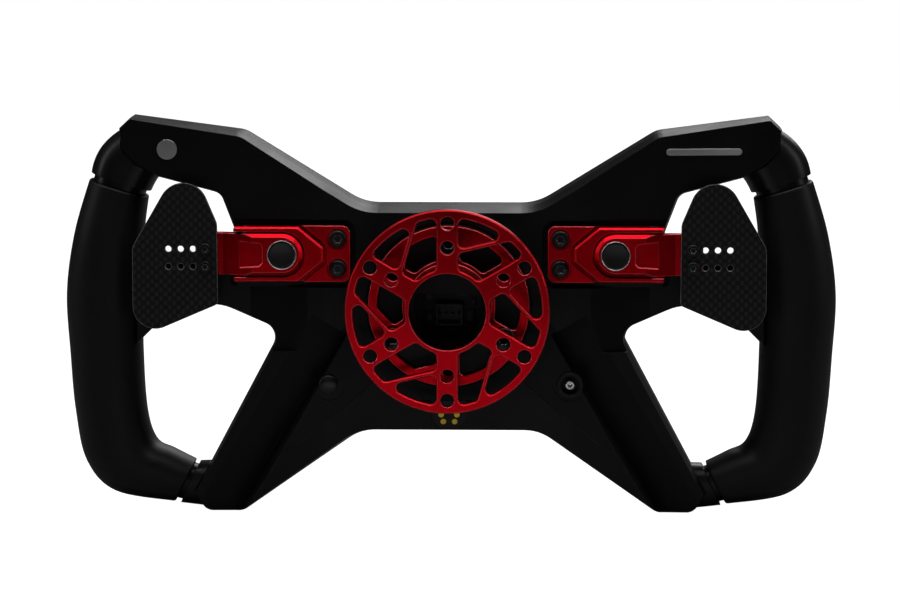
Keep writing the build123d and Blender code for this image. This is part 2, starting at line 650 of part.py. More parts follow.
def make_paddle_switch():
    """Micro switch under the base, with its plunger under the lever."""
    length, height, width = SWITCH_SIZE
    rear = BASE_FLOOR_Y - WALL
    start = PLUNGER_X - length / 2 - SWITCH_SHIFT
    z_span = (PADDLE_Z - width / 2, PADDLE_Z + width / 2)
    body = block((start, start + length), (rear - height, rear), z_span)
    return body + rod(PLUNGER_X, PADDLE_Z, PLUNGER_R, rear, LEVER_FRONT_Y - PLUNGER_GAP)


def make_lever():
    """Lever that carries the blade, stepping down towards its outer end."""
    side = make_face(Polyline(
        (LEVER_END_X - LEVER_HALF, LEVER_FRONT_Y), (LEVER_END_X - LEVER_HALF, LEVER_REAR_Y),
        (LEVER_STEP_X[0], LEVER_REAR_Y), (LEVER_STEP_X[1], BLADE_FRONT_Y), (LEVER_OUT_X, BLADE_FRONT_Y),
        (LEVER_OUT_X, BLADE_FRONT_Y - LEVER_TAIL_THK), (LEVER_STEP_X[1], BLADE_FRONT_Y - LEVER_TAIL_THK),
        (LEVER_STEP_X[0], LEVER_FRONT_Y), close=True))
    prism = Pos(0, 0, PADDLE_Z) * extrude(side, amount=LEVER_HALF, both=True)
    length = LEVER_OUT_X - LEVER_END_X
    straight = Pos(LEVER_END_X + length / 2, PADDLE_Z) * Rectangle(length, 2 * LEVER_HALF)
    plan = straight + Pos(LEVER_END_X, PADDLE_Z) * Circle(LEVER_HALF)
    lever = prism & slab(plan, -BEHIND, 0)
    rear_edges = lever.faces().sort_by(Axis.Y)[-1].edges()
    lever = chamfer(rear_edges.sort_by(Axis.X)[:-1], LEVER_CHAMFER)
    corners = [(WAIST_X[0], WAIST_HALF[0]), (WAIST_X[0], -WAIST_HALF[0]),
               (WAIST_X[1], -WAIST_HALF[1]), (WAIST_X[1], WAIST_HALF[1])]
    waist = filleted([((x, PADDLE_Z + z), WAIST_R) for x, z in corners])
    lever -= slab(waist, LEVER_REAR_Y - WAIST_DEPTH, 0)
    lever -= rod(LEVER_END_X, PADDLE_Z, CAP_DISC_R, LEVER_REAR_Y - CAP_DISC_SEAT, 0)
    lever -= rod(LEVER_END_X, PADDLE_Z, MAGNET_R, LEVER_FRONT_Y, LEVER_FRONT_Y + MAGNET_THK)
    lever -= Pos(PIVOT_X, PIVOT_Y, PADDLE_Z) * Cylinder(PIVOT_R + PIVOT_RUNNING_CLEAR, 3 * LEVER_HALF)
    for z in BLADE_ROWS_Z:
        lever -= rod(BLADE_SCREW_X, z, BLADE_HOLE_R, -BEHIND, 0)
    return lever


def make_lever_magnet():
    """Magnet in the underside of the lever."""
    return rod(LEVER_END_X, PADDLE_Z, MAGNET_R, LEVER_FRONT_Y, LEVER_FRONT_Y + MAGNET_THK)


def make_lever_cap():
    """Round cap on the lever's inner end, with a raised ring."""
    rear = LEVER_REAR_Y + CAP_DISC_PROUD
    cap = rod(LEVER_END_X, PADDLE_Z, CAP_DISC_R, LEVER_REAR_Y - CAP_DISC_SEAT, rear)
    return cap - rod(LEVER_END_X, PADDLE_Z, CAP_DISC_R - CAP_RIM_WIDTH, rear - CAP_RIM_HEIGHT, 0)


def make_blade():
    """Flat finger plate with two rows of adjustment holes."""
    blade = slab(filleted(BLADE_OUTLINE), BLADE_FRONT_Y, BLADE_REAR_Y)
    for z in BLADE_ROWS_Z:
        for k in range(BLADE_HOLE_COUNT + 1):
            blade -= rod(BLADE_SCREW_X + k * BLADE_HOLE_PITCH, z, BLADE_HOLE_R, -BEHIND, 0)
    return blade


def make_blade_screws():
    """Two screws that hold the blade to its lever."""
    group = []
    for z in BLADE_ROWS_Z:
        head = rod(BLADE_SCREW_X, z, BLADE_SCREW_HEAD_R, BLADE_REAR_Y, BLADE_REAR_Y + BLADE_SCREW_HEAD_H)
        head = fillet(head.faces().sort_by(Axis.Y)[-1].edges(), BLADE_SCREW_DOME)
        shank = rod(BLADE_SCREW_X, z, BLADE_HOLE_R, BLADE_FRONT_Y - LEVER_TAIL_THK, BLADE_REAR_Y)
        socket = slab(Pos(BLADE_SCREW_X, z) * RegularPolygon(BLADE_SOCKET_R, 6),
                      BLADE_REAR_Y + BLADE_SOCKET_FLOOR, 0)
        group.append(head + shank - socket)
    return Compound(children=group)


# ---------------------------------------------------------------- rear controls
def make_rear_button():
    """Domed push button on the rear, with its stem."""
    x, z = REAR_BUTTON
    under = SHELL_REAR - REAR_RECESS_DEPTH + REAR_BUTTON_TRAVEL
    head = rod(x, z, REAR_BUTTON_R, under, SHELL_REAR + REAR_BUTTON_PROUD)
    head = fillet(head.faces().sort_by(Axis.Y)[-1].edges(), REAR_BUTTON_DOME)
    return head + rod(x, z, BUTTON_STEM_R, SHELL_REAR - REAR_BUTTON_LENGTH, under)


def make_rear_switch():
    """Tact switch behind the rear button."""
    x, z = REAR_BUTTON
    rear = SHELL_REAR - REAR_BUTTON_LENGTH - REAR_SWITCH_GAP
    half = REAR_SWITCH_HALF
    return block((x - half, x + half), (BOARD_REAR, rear), (z - half, z + half))


def make_accessory_socket():
    """Round socket on the rear: ring, bore and closed bottom."""
    x, z = -REAR_BUTTON[0], REAR_BUTTON[1]
    front = SHELL_REAR - SOCKET_LENGTH
    tube = rod(x, z, SOCKET_R[0], front, SHELL_REAR - SOCKET_SUNK)
    return tube - rod(x, z, SOCKET_R[1], front + SOCKET_FLOOR, 0)


def make_socket_core():
    """Centre contact of the round socket."""
    x, z = -REAR_BUTTON[0], REAR_BUTTON[1]
    floor = SHELL_REAR - SOCKET_LENGTH + SOCKET_FLOOR
    return rod(x, z, SOCKET_R[2], floor, SHELL_REAR - SOCKET_CORE_SUNK)


def make_dock_insert():
    """Magnetic dock body with its contact bores."""
    insert = slab(dock_sketch(), SHELL_REAR - DOCK_DEPTH, SHELL_REAR - DOCK_SUNK)
    return insert - make_dock_contacts()


def make_dock_contacts():
    """Gilt contact pins of the dock."""
    front = SHELL_REAR - DOCK_DEPTH + DOCK_PIN_FLOOR
    group = []
    for sign in (1, -1):
        for x, z in DOCK_PINS:
            group.append(rod(sign * x, z, DOCK_PIN_R, front, SHELL_REAR - DOCK_PIN_SUNK))
    return Compound(children=group)


def badge_band(sketch):
    """Thin inlay that follows the slanted rear of an arm."""
    return (slab(sketch, -BEHIND, 0) & under_rear(BADGE_PROUD)) - under_rear(-BADGE_SUNK)


def make_badge_disc():
    """Plain round badge on the right arm."""
    x, z, radius = BADGE_DISC
    return badge_band(Pos(x, z) * Circle(radius))


def make_badge_bar():
    """Plain bar badge on the left arm."""
    x, z, length, height = BADGE_BAR
    return badge_band(Pos(-x, z) * SlotOverall(length, height))


# ---------------------------------------------------------------- electronics
def make_main_board():
    """Circuit board behind the hub bore."""
    sketch = Pos(0, BOARD_CENTRE_Z) * RectangleRounded(*BOARD_SIZE, BOARD_CORNER_R)
    return slab(sketch, BOARD_REAR - BOARD_THK, BOARD_REAR)


def make_board_header():
    """Four-way header seen through the hub bore."""
    width, height, depth = HEADER_SIZE
    header = block((-width / 2, width / 2), (BOARD_REAR, BOARD_REAR + depth), (-height / 2, height / 2))
    half_x, half_z, half_pin = width / 2 - HEADER_WALL, height / 2 - HEADER_WALL, HEADER_PIN_HALF
    header -= block((-half_x, half_x), (BOARD_REAR + HEADER_FLOOR, 0), (-half_z, half_z))
    end = BOARD_REAR + depth - HEADER_FLOOR
    for k in range(HEADER_PINS):
        x = (k - (HEADER_PINS - 1) / 2) * HEADER_PITCH
        header += block((x - half_pin, x + half_pin), (BOARD_REAR, end), (-half_pin, half_pin))
    return Pos(0, 0, HEADER_Z) * header


# ---------------------------------------------------------------- driver's side controls
def make_button_cap(x, z):
    """Round push-button cap with its stem."""
    bottom = PLATE_FRONT - CAP_TRAVEL
    cap = rod(x, z, CAP_R, bottom - CAP_HEIGHT, bottom)
    cap = fillet(cap.faces().sort_by(Axis.Y)[0].edges(), CAP_DOME)
    return cap + rod(x, z, BUTTON_STEM_R, bottom, bottom + STEM_LENGTH)


def make_button_bezels():
    """Collars round the push buttons."""
    group = []
    for sign in (1, -1):
        for x, z in BUTTONS:
            ring = rod(sign * x, z, BEZEL_R, PLATE_FRONT - BEZEL_HEIGHT, PLATE_FRONT)
            ring = chamfer(ring.faces().sort_by(Axis.Y)[0].edges(), BEZEL_CHAMFER)
            group.append(ring - rod(sign * x, z, CAP_R + CAP_CLEAR, -BEHIND, 0))
    return Compound(children=group)


def make_button_switches():
    """Switch bodies behind the face plate."""
    group = []
    for sign in (1, -1):
        for x, z in BUTTONS:
            rear = SHELL_FRONT + SWITCH_DEPTH
            body = rod(sign * x, z, SWITCH_R, SHELL_FRONT, rear)
            bore = rod(sign * x, z, BUTTON_STEM_R + STEM_CLEAR, SHELL_FRONT, rear - SWITCH_FLOOR)
            group.append(body - bore)
    return Compound(children=group)


def make_knob(x, z):
    """Fluted rotary knob with its shaft."""
    bottom = PLATE_FRONT - KNOB_GAP
    front = bottom - KNOB_HEIGHT
    knob = rod(x, z, KNOB_R, front, bottom)
    knob = chamfer(knob.faces().sort_by(Axis.Y)[0].edges(), KNOB_CHAMFER)
    for k in range(KNOB_FLUTES):
        dx, dz = polar(KNOB_R + KNOB_FLUTE_OUT, 360 * k / KNOB_FLUTES)
        knob -= rod(x + dx, z + dz, KNOB_FLUTE_R, front, bottom - KNOB_SKIRT)
    width, depth, start = KNOB_MARK
    knob -= block((x - width / 2, x + width / 2), (front, front + depth), (z + start, z + KNOB_R))
    return knob + rod(x, z, SHAFT_R, bottom, SHELL_FRONT + SWITCH_DEPTH - SHAFT_SHORT)


def make_encoders():
    """Rotary encoder bodies behind the face plate."""
    half = ENCODER_SIZE / 2
    group = []
    for sign in (1, -1):
        for x, z in KNOBS:
            x *= sign
            depths = (SHELL_FRONT, SHELL_FRONT + SWITCH_DEPTH)
            body = block((x - half, x + half), depths, (z - half, z + half))
            group.append(body - rod(x, z, SHAFT_R + SHAFT_CLEAR, SHELL_FRONT, depths[1] - ENCODER_FLOOR))
    return Compound(children=group)


# ---------------------------------------------------------------- assembly
CENTRE_PARTS = {
    "rear_shell": make_rear_shell, "front_plate": make_front_plate, "plate_screws": make_plate_screws,
    "hub_adapter": make_hub_adapter, "hub_screws": make_hub_screws, "main_board": make_main_board,
    "board_header": make_board_header, "dock_insert": make_dock_insert, "dock_contacts": make_dock_contacts,
    "rear_button": make_rear_button, "rear_button_switch": make_rear_switch,
    "accessory_socket": make_accessory_socket, "socket_core": make_socket_core,
    "badge_disc": make_badge_disc, "badge_bar": make_badge_bar, "button_bezels": make_button_bezels,
    "button_switches": make_button_switches, "encoder_bodies": make_encoders,
}
SIDE_PARTS = {
    "grip": make_grip, "grip_core": make_grip_core, "paddle_base": make_paddle_base,
    "paddle_base_screws": make_base_screws, "paddle_pivot_pin": make_pivot_pin,
    "paddle_fixed_magnet": make_fixed_magnet, "paddle_switch": make_paddle_switch,
    "paddle_lever": make_lever, "paddle_lever_magnet": make_lever_magnet, "paddle_lever_cap": make_lever_cap,
    "paddle_blade": make_blade, "paddle_blade_screws": make_blade_screws,
}


def build_all():
    """Every node by name."""
    nodes = {name: make() for name, make in CENTRE_PARTS.items()}
    for name, make in SIDE_PARTS.items():
        right = make()
        nodes[name + "_right"] = right
        nodes[name + "_left"] = mirror(right, about=Plane.YZ)
    for side, sign in (("right", 1), ("left", -1)):
        for number, (x, z) in enumerate(BUTTONS, 1):
            nodes[f"button_cap_{side}_{number}"] = make_button_cap(sign * x, z)
        for number, (x, z) in enumerate(KNOBS, 1):
            nodes[f"knob_{side}_{number}"] = make_knob(sign * x, z)
    return nodes


if __name__ == "__main__":
    os.makedirs("parts", exist_ok=True)
    for node, shape in build_all().items():
        export_step(shape, f"parts/{node}.step")
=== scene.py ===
"""Finishes and fine pieces of a sim-racing steering wheel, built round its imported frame."""
import json
import logging
import math
from collections.abc import Callable
from dataclasses import dataclass, field
from enum import Enum

import bmesh
import bpy
from mathutils import Matrix, Vector


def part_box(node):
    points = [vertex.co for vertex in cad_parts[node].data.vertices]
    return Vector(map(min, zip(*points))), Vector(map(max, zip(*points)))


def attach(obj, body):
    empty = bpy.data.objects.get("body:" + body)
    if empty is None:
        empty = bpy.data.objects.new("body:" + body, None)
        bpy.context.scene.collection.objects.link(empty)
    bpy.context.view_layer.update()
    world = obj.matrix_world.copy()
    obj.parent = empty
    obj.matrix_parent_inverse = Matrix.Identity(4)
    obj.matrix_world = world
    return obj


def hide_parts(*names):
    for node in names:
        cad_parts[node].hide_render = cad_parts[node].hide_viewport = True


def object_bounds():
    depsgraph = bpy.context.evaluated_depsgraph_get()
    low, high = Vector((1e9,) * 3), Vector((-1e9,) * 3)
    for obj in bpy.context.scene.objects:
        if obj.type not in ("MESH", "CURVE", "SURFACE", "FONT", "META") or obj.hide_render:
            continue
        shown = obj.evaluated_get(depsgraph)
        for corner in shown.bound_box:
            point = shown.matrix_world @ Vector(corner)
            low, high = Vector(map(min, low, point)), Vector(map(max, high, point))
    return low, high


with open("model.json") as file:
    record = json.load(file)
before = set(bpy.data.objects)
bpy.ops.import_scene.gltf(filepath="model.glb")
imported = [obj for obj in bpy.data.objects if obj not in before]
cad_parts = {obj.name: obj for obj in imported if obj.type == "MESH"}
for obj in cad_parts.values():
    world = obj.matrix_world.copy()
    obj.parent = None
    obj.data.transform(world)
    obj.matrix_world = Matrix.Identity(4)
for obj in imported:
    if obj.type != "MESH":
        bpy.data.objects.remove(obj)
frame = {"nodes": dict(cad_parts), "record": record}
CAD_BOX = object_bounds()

LOG = logging.getLogger("racing_wheel")
MM = 0.001
TAU = 2 * math.pi
DRIVE_POINTS = 6
STAR_LOBE = 0.16
MOUTH_RIM = 1.22
SEAT_SHARE = 0.97
SEAT_EASE = 0.05 * MM


class Side(Enum):
    """The driver's two hands, by the sign of X."""

    RIGHT = 1
    LEFT = -1

    @property
    def label(self) -> str:
        """Ending of this side's node and body names."""
        return self.name.lower()


class Facing(Enum):
    """Which way along Y a fastener or cap looks."""

    REAR = 1
    DRIVER = -1


class Drive(Enum):
    """Six-pointed drive recess of a screw head."""

    HEXAGON = "hexagon"
    STAR = "star"


class Relief(Enum):
    """Fine relief of a surface."""

    GRAINED = "moulded or blasted grain"
    TURNED = "tool marks round the hub's axis"
    BRUSHED = "long strokes along X"
    PEBBLED = "close rubber pebbles with a parting line"


# ---------------------------------------------------------------- shader graphs
class Graph:
    """Short way to add and join the nodes of one tree."""

    def __init__(self, tree: bpy.types.NodeTree) -> None:
        self.tree = tree

    def add(self, kind: str, **values: object) -> bpy.types.Node:
        """Adds a node.

        Args:
            kind: The node's type, without its ShaderNode start.
            values: Attributes, or sockets named with underscores for spaces.

        Returns:
            The new node.
        """
        node = self.tree.nodes.new("ShaderNode" + kind if not kind.startswith("Node") else kind)
        for name, value in values.items():
            if hasattr(node, name):
                setattr(node, name, value)
            else:
                self.feed(node.inputs[name.replace("_", " ")], value)
        return node

    def feed(self, socket: bpy.types.NodeSocket, value: object) -> None:
        """Joins an output to a socket, or sets the socket to a constant."""
        if isinstance(value, bpy.types.NodeSocket):
            self.tree.links.new(value, socket)
        else:
            socket.default_value = value

    def math(self, operation: str, *values: object) -> bpy.types.NodeSocket:
        """Output of a Math node on up to three values."""
        node = self.add("Math", operation=operation)
        for socket, value in zip(node.inputs, values):
            self.feed(socket, value)
        return node.outputs[0]

    def ramp(self, value: bpy.types.NodeSocket, low: float, high: float,
             to_low: float = 0.0, to_high: float = 1.0) -> bpy.types.NodeSocket:
        """Output of a clamped Map Range from low..high to to_low..to_high."""
        node = self.add("MapRange", Value=value, From_Min=low, From_Max=high, To_Min=to_low, To_Max=to_high)
        return node.outputs[0]

    def blend(self, factor: object, first: object, second: object) -> bpy.types.NodeSocket:
        """Colour mixed from first to second by factor."""
        node = self.add("Mix", data_type="RGBA")
        self.feed(node.inputs["Factor"], factor)
        colours = [socket for socket in node.inputs if socket.type == "RGBA"]
        self.feed(colours[0], first)
        self.feed(colours[1], second)
        return [socket for socket in node.outputs if socket.type == "RGBA"][0]

    def group(self, tree: bpy.types.NodeTree, **values: float) -> bpy.types.Node:
        """Places a shared effect with its own values."""
        node = self.add("Group", node_tree=tree)
        for name, value in values.items():
            node.inputs[name.replace("_", " ")].default_value = value
        return node

    def place(self) -> tuple[bpy.types.NodeSocket, bpy.types.NodeSocket]:
        """Object coordinates as a vector and its separated parts' node."""
        coordinates = self.add("TexCoord").outputs["Object"]
        return coordinates, self.add("SeparateXYZ", Vector=coordinates)


class Effects:
    """Shader groups that several finishes share, each built once."""

    def __init__(self) -> None:
        self.grain = self._make("moulded_grain", {"Scale": 900.0, "Blotch Scale": 40.0},
                                ("Height", "Blotch"), self._grain)
        # The edge group's mask lays a lighter colour on sharp edges: partly real rubbing, partly a painted
        # highlight where chamfers would catch the light.
        self.edges = self._make("edge_wear_and_painted_highlight", {"Reach": 0.0006, "Gain": 6.0}, ("Mask", "Eased"), self._edges)
        self.weave = self._make("woven_cloth", {"Tow": 0.0018, "Repeat": 4.0}, ("Warp", "Height", "Shade"),
                                self._weave)
        self.rings = self._make("turned_rings", {"Pitch": 0.0004}, ("Height",), self._rings)
        self.strokes = self._make("brushed_strokes", {"Scale": 3600.0}, ("Height",), self._strokes)
        self.pebbles = self._make("rubber_pebbles", {"Scale": 1500.0, "Seam Y": -0.043},
                                  ("Height", "Blotch"), self._pebbles)
        self.dust = self._make("settled_dust", {"Scale": 120.0}, ("Mask",), self._dust)

    @staticmethod
    def _make(name: str, inputs: dict[str, float], outputs: tuple[str, ...],
              fill: Callable[[Graph, object, object], None]) -> bpy.types.NodeTree:
        """Builds one group.

        Args:
            name: The group's name.
            inputs: Names of its inputs, with their usual values.
            outputs: Names of its outputs; one called Eased is a normal.
            fill: The function that adds the nodes between them.

        Returns:
            The new group.
        """
        tree = bpy.data.node_groups.new(name, "ShaderNodeTree")
        for key, value in inputs.items():
            socket = tree.interface.new_socket(key, in_out="INPUT", socket_type="NodeSocketFloat")
            socket.default_value = value
        for key in outputs:
            kind = "NodeSocketVector" if key == "Eased" else "NodeSocketFloat"
            tree.interface.new_socket(key, in_out="OUTPUT", socket_type=kind)
        graph = Graph(tree)
        fill(graph, graph.add("NodeGroupInput").outputs, graph.add("NodeGroupOutput").inputs)
        return tree

    @staticmethod
    def _grain(graph: Graph, given: object, out: object) -> None:
        """Fine grain with broad, faint blotches."""
        where, _ = graph.place()
        fine = graph.add("TexNoise", Vector=where, Scale=given["Scale"], Detail=3.0, Roughness=0.6)
        cells = graph.add("TexVoronoi", Vector=where, Scale=given["Scale"])
        soft_cells = graph.math("MULTIPLY", cells.outputs[0], 0.5)
        graph.feed(out["Height"], graph.math("ADD", fine.outputs[0], soft_cells))
        blotch = graph.add("TexNoise", Vector=where, Scale=given["Blotch Scale"], Detail=4.0)
        graph.feed(out["Blotch"], blotch.outputs[0])

    @staticmethod
    def _edges(graph: Graph, given: object, out: object) -> None:
        """Mask that is bright on sharp edges, a little broken up, for rubbed edges and a painted edge
        highlight, and the normal that rounds them.
        """
        eased = graph.add("Bevel", samples=4, Radius=given["Reach"]).outputs[0]
        true = graph.add("NewGeometry").outputs["Normal"]
        facing = graph.add("VectorMath", operation="DOT_PRODUCT")
        graph.feed(facing.inputs[0], eased)
        graph.feed(facing.inputs[1], true)
        turned = graph.math("SUBTRACT", 1.0, facing.outputs["Value"])
        where, _ = graph.place()
        noise = graph.add("TexNoise", Vector=where, Scale=260.0, Detail=3.0)
        broken = graph.math("MULTIPLY", turned, graph.ramp(noise.outputs[0], 0.3, 0.7, 0.4, 1.0))
        raised = graph.math("MULTIPLY", broken, given["Gain"])
        graph.feed(out["Mask"], graph.add("Clamp", Value=raised).outputs[0])
        graph.feed(out["Eased"], eased)

    @staticmethod
    def _weave(graph: Graph, given: object, out: object) -> None:
        """Cloth in the plane of X and Z, plain or twill by its repeat, with each tow's fine threads; Shade
        is the painted shade mask, high on each tow's crown and low at its edges and between its threads.
        """
        _, parts = graph.place()
        across = graph.math("DIVIDE", parts.outputs["X"], given["Tow"])
        up = graph.math("DIVIDE", parts.outputs["Z"], given["Tow"])
        step = graph.math("SUBTRACT", graph.math("FLOOR", across), graph.math("FLOOR", up))
        middle = graph.math("SUBTRACT", graph.math("MULTIPLY", given["Repeat"], 0.5), 0.5)
        warp = graph.math("LESS_THAN", graph.math("FLOORED_MODULO", step, given["Repeat"]), middle)
        weft = graph.math("SUBTRACT", 1.0, warp)
        crown_x = graph.math("SINE", graph.math("MULTIPLY", graph.math("FRACT", across), math.pi))
        crown_z = graph.math("SINE", graph.math("MULTIPLY", graph.math("FRACT", up), math.pi))
        warp_height = graph.math("MULTIPLY", warp, crown_x)
        height = graph.math("ADD", warp_height, graph.math("MULTIPLY", weft, crown_z))
        thread_x = graph.math("SINE", graph.math("MULTIPLY", across, 38.0))
        thread_z = graph.math("SINE", graph.math("MULTIPLY", up, 38.0))
        warp_threads = graph.math("MULTIPLY", warp, thread_x)
        threads = graph.math("ADD", warp_threads, graph.math("MULTIPLY", weft, thread_z))
        graph.feed(out["Warp"], warp)
        graph.feed(out["Height"], height)
        # Shade: high on each tow's crown, low at its edges and between its threads, for painted shade.
        graph.feed(out["Shade"], graph.math("MULTIPLY", height, graph.ramp(threads, -1.0, 1.0, 0.7, 1.0)))

    @staticmethod
    def _rings(graph: Graph, given: object, out: object) -> None:
        """Concentric tool marks about the hub's axis."""
        _, parts = graph.place()
        squares = [graph.math("MULTIPLY", parts.outputs[axis], parts.outputs[axis]) for axis in "XZ"]
        turns = graph.math("DIVIDE", graph.math("SQRT", graph.math("ADD", *squares)), given["Pitch"])
        noise = graph.add("TexNoise", noise_dimensions="1D", W=turns, Scale=0.7, Detail=3.0)
        wave = graph.math("SINE", graph.math("MULTIPLY", turns, TAU))
        graph.feed(out["Height"], graph.math("ADD", noise.outputs[0], graph.math("MULTIPLY", wave, 0.2)))

    @staticmethod
    def _strokes(graph: Graph, given: object, out: object) -> None:
        """Long fine strokes along X."""
        where, _ = graph.place()
        stretched = graph.add("Mapping", Vector=where, Scale=(0.04, 1.0, 1.0)).outputs[0]
        strokes = graph.add("TexNoise", Vector=stretched, Scale=given["Scale"], Detail=4.0)
        graph.feed(out["Height"], strokes.outputs[0])

    @staticmethod
    def _pebbles(graph: Graph, given: object, out: object) -> None:
        """Closely pebbled rubber with a fine parting line round its middle."""
        where, parts = graph.place()
        cells = graph.add("TexVoronoi", feature="SMOOTH_F1", Vector=where, Scale=given["Scale"])
        fine = graph.add("TexNoise", Vector=where, Scale=3200.0, Detail=2.0)
        height = graph.math("SUBTRACT", graph.math("MULTIPLY", fine.outputs[0], 0.25), cells.outputs[0])
        off_seam = graph.math("ABSOLUTE", graph.math("SUBTRACT", parts.outputs["Y"], given["Seam Y"]))
        seam = graph.ramp(off_seam, 0.0001, 0.0004, 1.0, 0.0)
        graph.feed(out["Height"], graph.math("ADD", height, graph.math("MULTIPLY", seam, 1.5)))
        graph.feed(out["Blotch"], graph.add("TexNoise", Vector=where, Scale=28.0, Detail=5.0).outputs[0])

    @staticmethod
    def _dust(graph: Graph, given: object, out: object) -> None:
        """Faint dust and finger grease on surfaces that look upwards."""
        where, _ = graph.place()
        up = graph.add("SeparateXYZ", Vector=graph.add("NewGeometry").outputs["Normal"]).outputs["Z"]
        specks = graph.add("TexNoise", Vector=where, Scale=given["Scale"], Detail=6.0, Roughness=0.7)
        mask = graph.math("MULTIPLY", graph.ramp(up, 0.1, 1.0), graph.ramp(specks.outputs[0], 0.45, 0.75))
        graph.feed(out["Mask"], mask)


@dataclass(frozen=True)
class Finish:
    """A surface finish: colour, gloss, relief, and a lighter colour on sharp edges, partly rubbing and
    partly painted highlight.

    Plain values are written straight onto the shader's sockets or the effect groups' inputs.
    """

    name: str
    colour: tuple[float, float, float]
    # Colour of sharp edges: partly rubbed-through finish, partly a painted highlight.
    worn_and_painted_highlight: tuple[float, float, float]
    roughness: float = 0.5
    metallic: float = 0.0
    specular: float = 0.5
    relief: Relief = Relief.GRAINED
    depth: float = 0.2
    grain_scale: float = 900.0
    # Strength of that edge colour, for rubbing and painted highlight together.
    wear_and_painted_highlight: float = 1.0
    reach: float = 0.0004
    gain: float = 6.0
    dust: float = 0.0

    def dress(self, effects: Effects) -> bpy.types.Material:
        """Builds the material.

        Args:
            effects: The shared shader groups.

        Returns:
            The finished material.
        """
        material = bpy.data.materials.new(self.name)
        material.use_nodes = True
        graph = Graph(material.node_tree)
        shader = material.node_tree.nodes["Principled BSDF"]
        shader.inputs["Specular IOR Level"].default_value = self.specular
        shader.inputs["Metallic"].default_value = self.metallic
        edges = graph.group(effects.edges, Reach=self.reach, Gain=self.gain)
        height, blotch = self._surface(graph, effects)
        base = graph.add("VectorMath", operation="SCALE")
        base.inputs[0].default_value = self.colour
        graph.feed(base.inputs["Scale"], graph.ramp(blotch, 0.3, 0.7, 0.8, 1.2))
        # Sharp edges take the lighter edge colour: partly rubbing, partly a painted highlight where they
        # would catch the light.
        worn_and_painted_highlight = graph.blend(graph.math("MULTIPLY", edges.outputs["Mask"], self.wear_and_painted_highlight), base.outputs[0],
                           (*self.worn_and_painted_highlight, 1.0))
        dust = graph.math("MULTIPLY", graph.group(effects.dust).outputs["Mask"], self.dust)
        graph.feed(shader.inputs["Base Color"], graph.blend(dust, worn_and_painted_highlight, (0.3, 0.29, 0.28, 1.0)))
        gloss = graph.ramp(blotch, 0.3, 0.7, self.roughness * 0.86, self.roughness * 1.14)
        graph.feed(shader.inputs["Roughness"], graph.math("ADD", gloss, graph.math("MULTIPLY", dust, 0.5)))
        bump = graph.add("Bump", Strength=self.depth, Distance=0.0001, Height=height,
                         Normal=edges.outputs["Eased"])
        graph.feed(shader.inputs["Normal"], bump.outputs[0])
        return material

    def _surface(self, graph: Graph, effects: Effects) -> tuple[bpy.types.NodeSocket, bpy.types.NodeSocket]:
        """Height of the fine relief, and the broad variation of colour and gloss."""
        if self.relief is Relief.PEBBLED:
            pebbles = graph.group(effects.pebbles, Scale=self.grain_scale)
            return pebbles.outputs["Height"], pebbles.outputs["Blotch"]
        grain = graph.group(effects.grain, Scale=self.grain_scale)
        if self.relief is Relief.GRAINED:
            return grain.outputs["Height"], grain.outputs["Blotch"]
        marks = graph.group(effects.rings if self.relief is Relief.TURNED else effects.strokes)
        soft_grain = graph.math("MULTIPLY", grain.outputs["Height"], 0.3)
        return graph.math("ADD", marks.outputs["Height"], soft_grain), grain.outputs["Blotch"]


@dataclass(frozen=True)
class CarbonFinish:
    """Woven carbon under lacquer, with a painted sheen on the warp tows, painted shade towards each tow's
    edges and between its threads, and a painted highlight on sharp edges.
    """

    name: str
    # Warp and weft are the same black fibre; their two colours are a painted sheen, lit warp and shaded
    # weft.
    warp: tuple[float, float, float]
    weft: tuple[float, float, float]
    tow: float
    repeat: float
    roughness: float
    coat: float
    # Colour of sharp edges: a painted highlight.
    edge: float = 0.05

    def dress(self, effects: Effects) -> bpy.types.Material:
        """Builds the material.

        Args:
            effects: The shared shader groups.

        Returns:
            The finished material.
        """
        material = bpy.data.materials.new(self.name)
        material.use_nodes = True
        graph = Graph(material.node_tree)
        shader = material.node_tree.nodes["Principled BSDF"]
        shader.inputs["Coat Weight"].default_value = self.coat
        shader.inputs["Coat Roughness"].default_value = 0.12
        shader.inputs["Specular IOR Level"].default_value = 0.3
        weave = graph.group(effects.weave, Tow=self.tow, Repeat=self.repeat)
        edges = graph.group(effects.edges, Reach=0.0004, Gain=10.0)
        # Warp tows take the lighter colour and weft tows the darker: a painted sheen by tow direction.
        threads = graph.blend(weave.outputs["Warp"], (*self.weft, 1.0), (*self.warp, 1.0))
        # Quarter-bright weft colour for painted shade towards each tow's edges and between its threads.
        painted_tow_shade = tuple(0.25 * value for value in self.weft)
        cloth = graph.blend(weave.outputs["Shade"], (*painted_tow_shade, 1.0), threads)
        # Sharp edges take the lighter edge colour: a painted highlight.
        edge = (self.edge, self.edge, self.edge, 1.0)
        graph.feed(shader.inputs["Base Color"], graph.blend(edges.outputs["Mask"], cloth, edge))
        gloss = graph.ramp(weave.outputs["Warp"], 0.0, 1.0, self.roughness * 1.3, self.roughness)
        graph.feed(shader.inputs["Roughness"], gloss)
        bump = graph.add("Bump", Strength=0.4, Distance=0.0002, Height=weave.outputs["Height"],
                         Normal=edges.outputs["Eased"])
        graph.feed(shader.inputs["Normal"], bump.outputs[0])
        return material
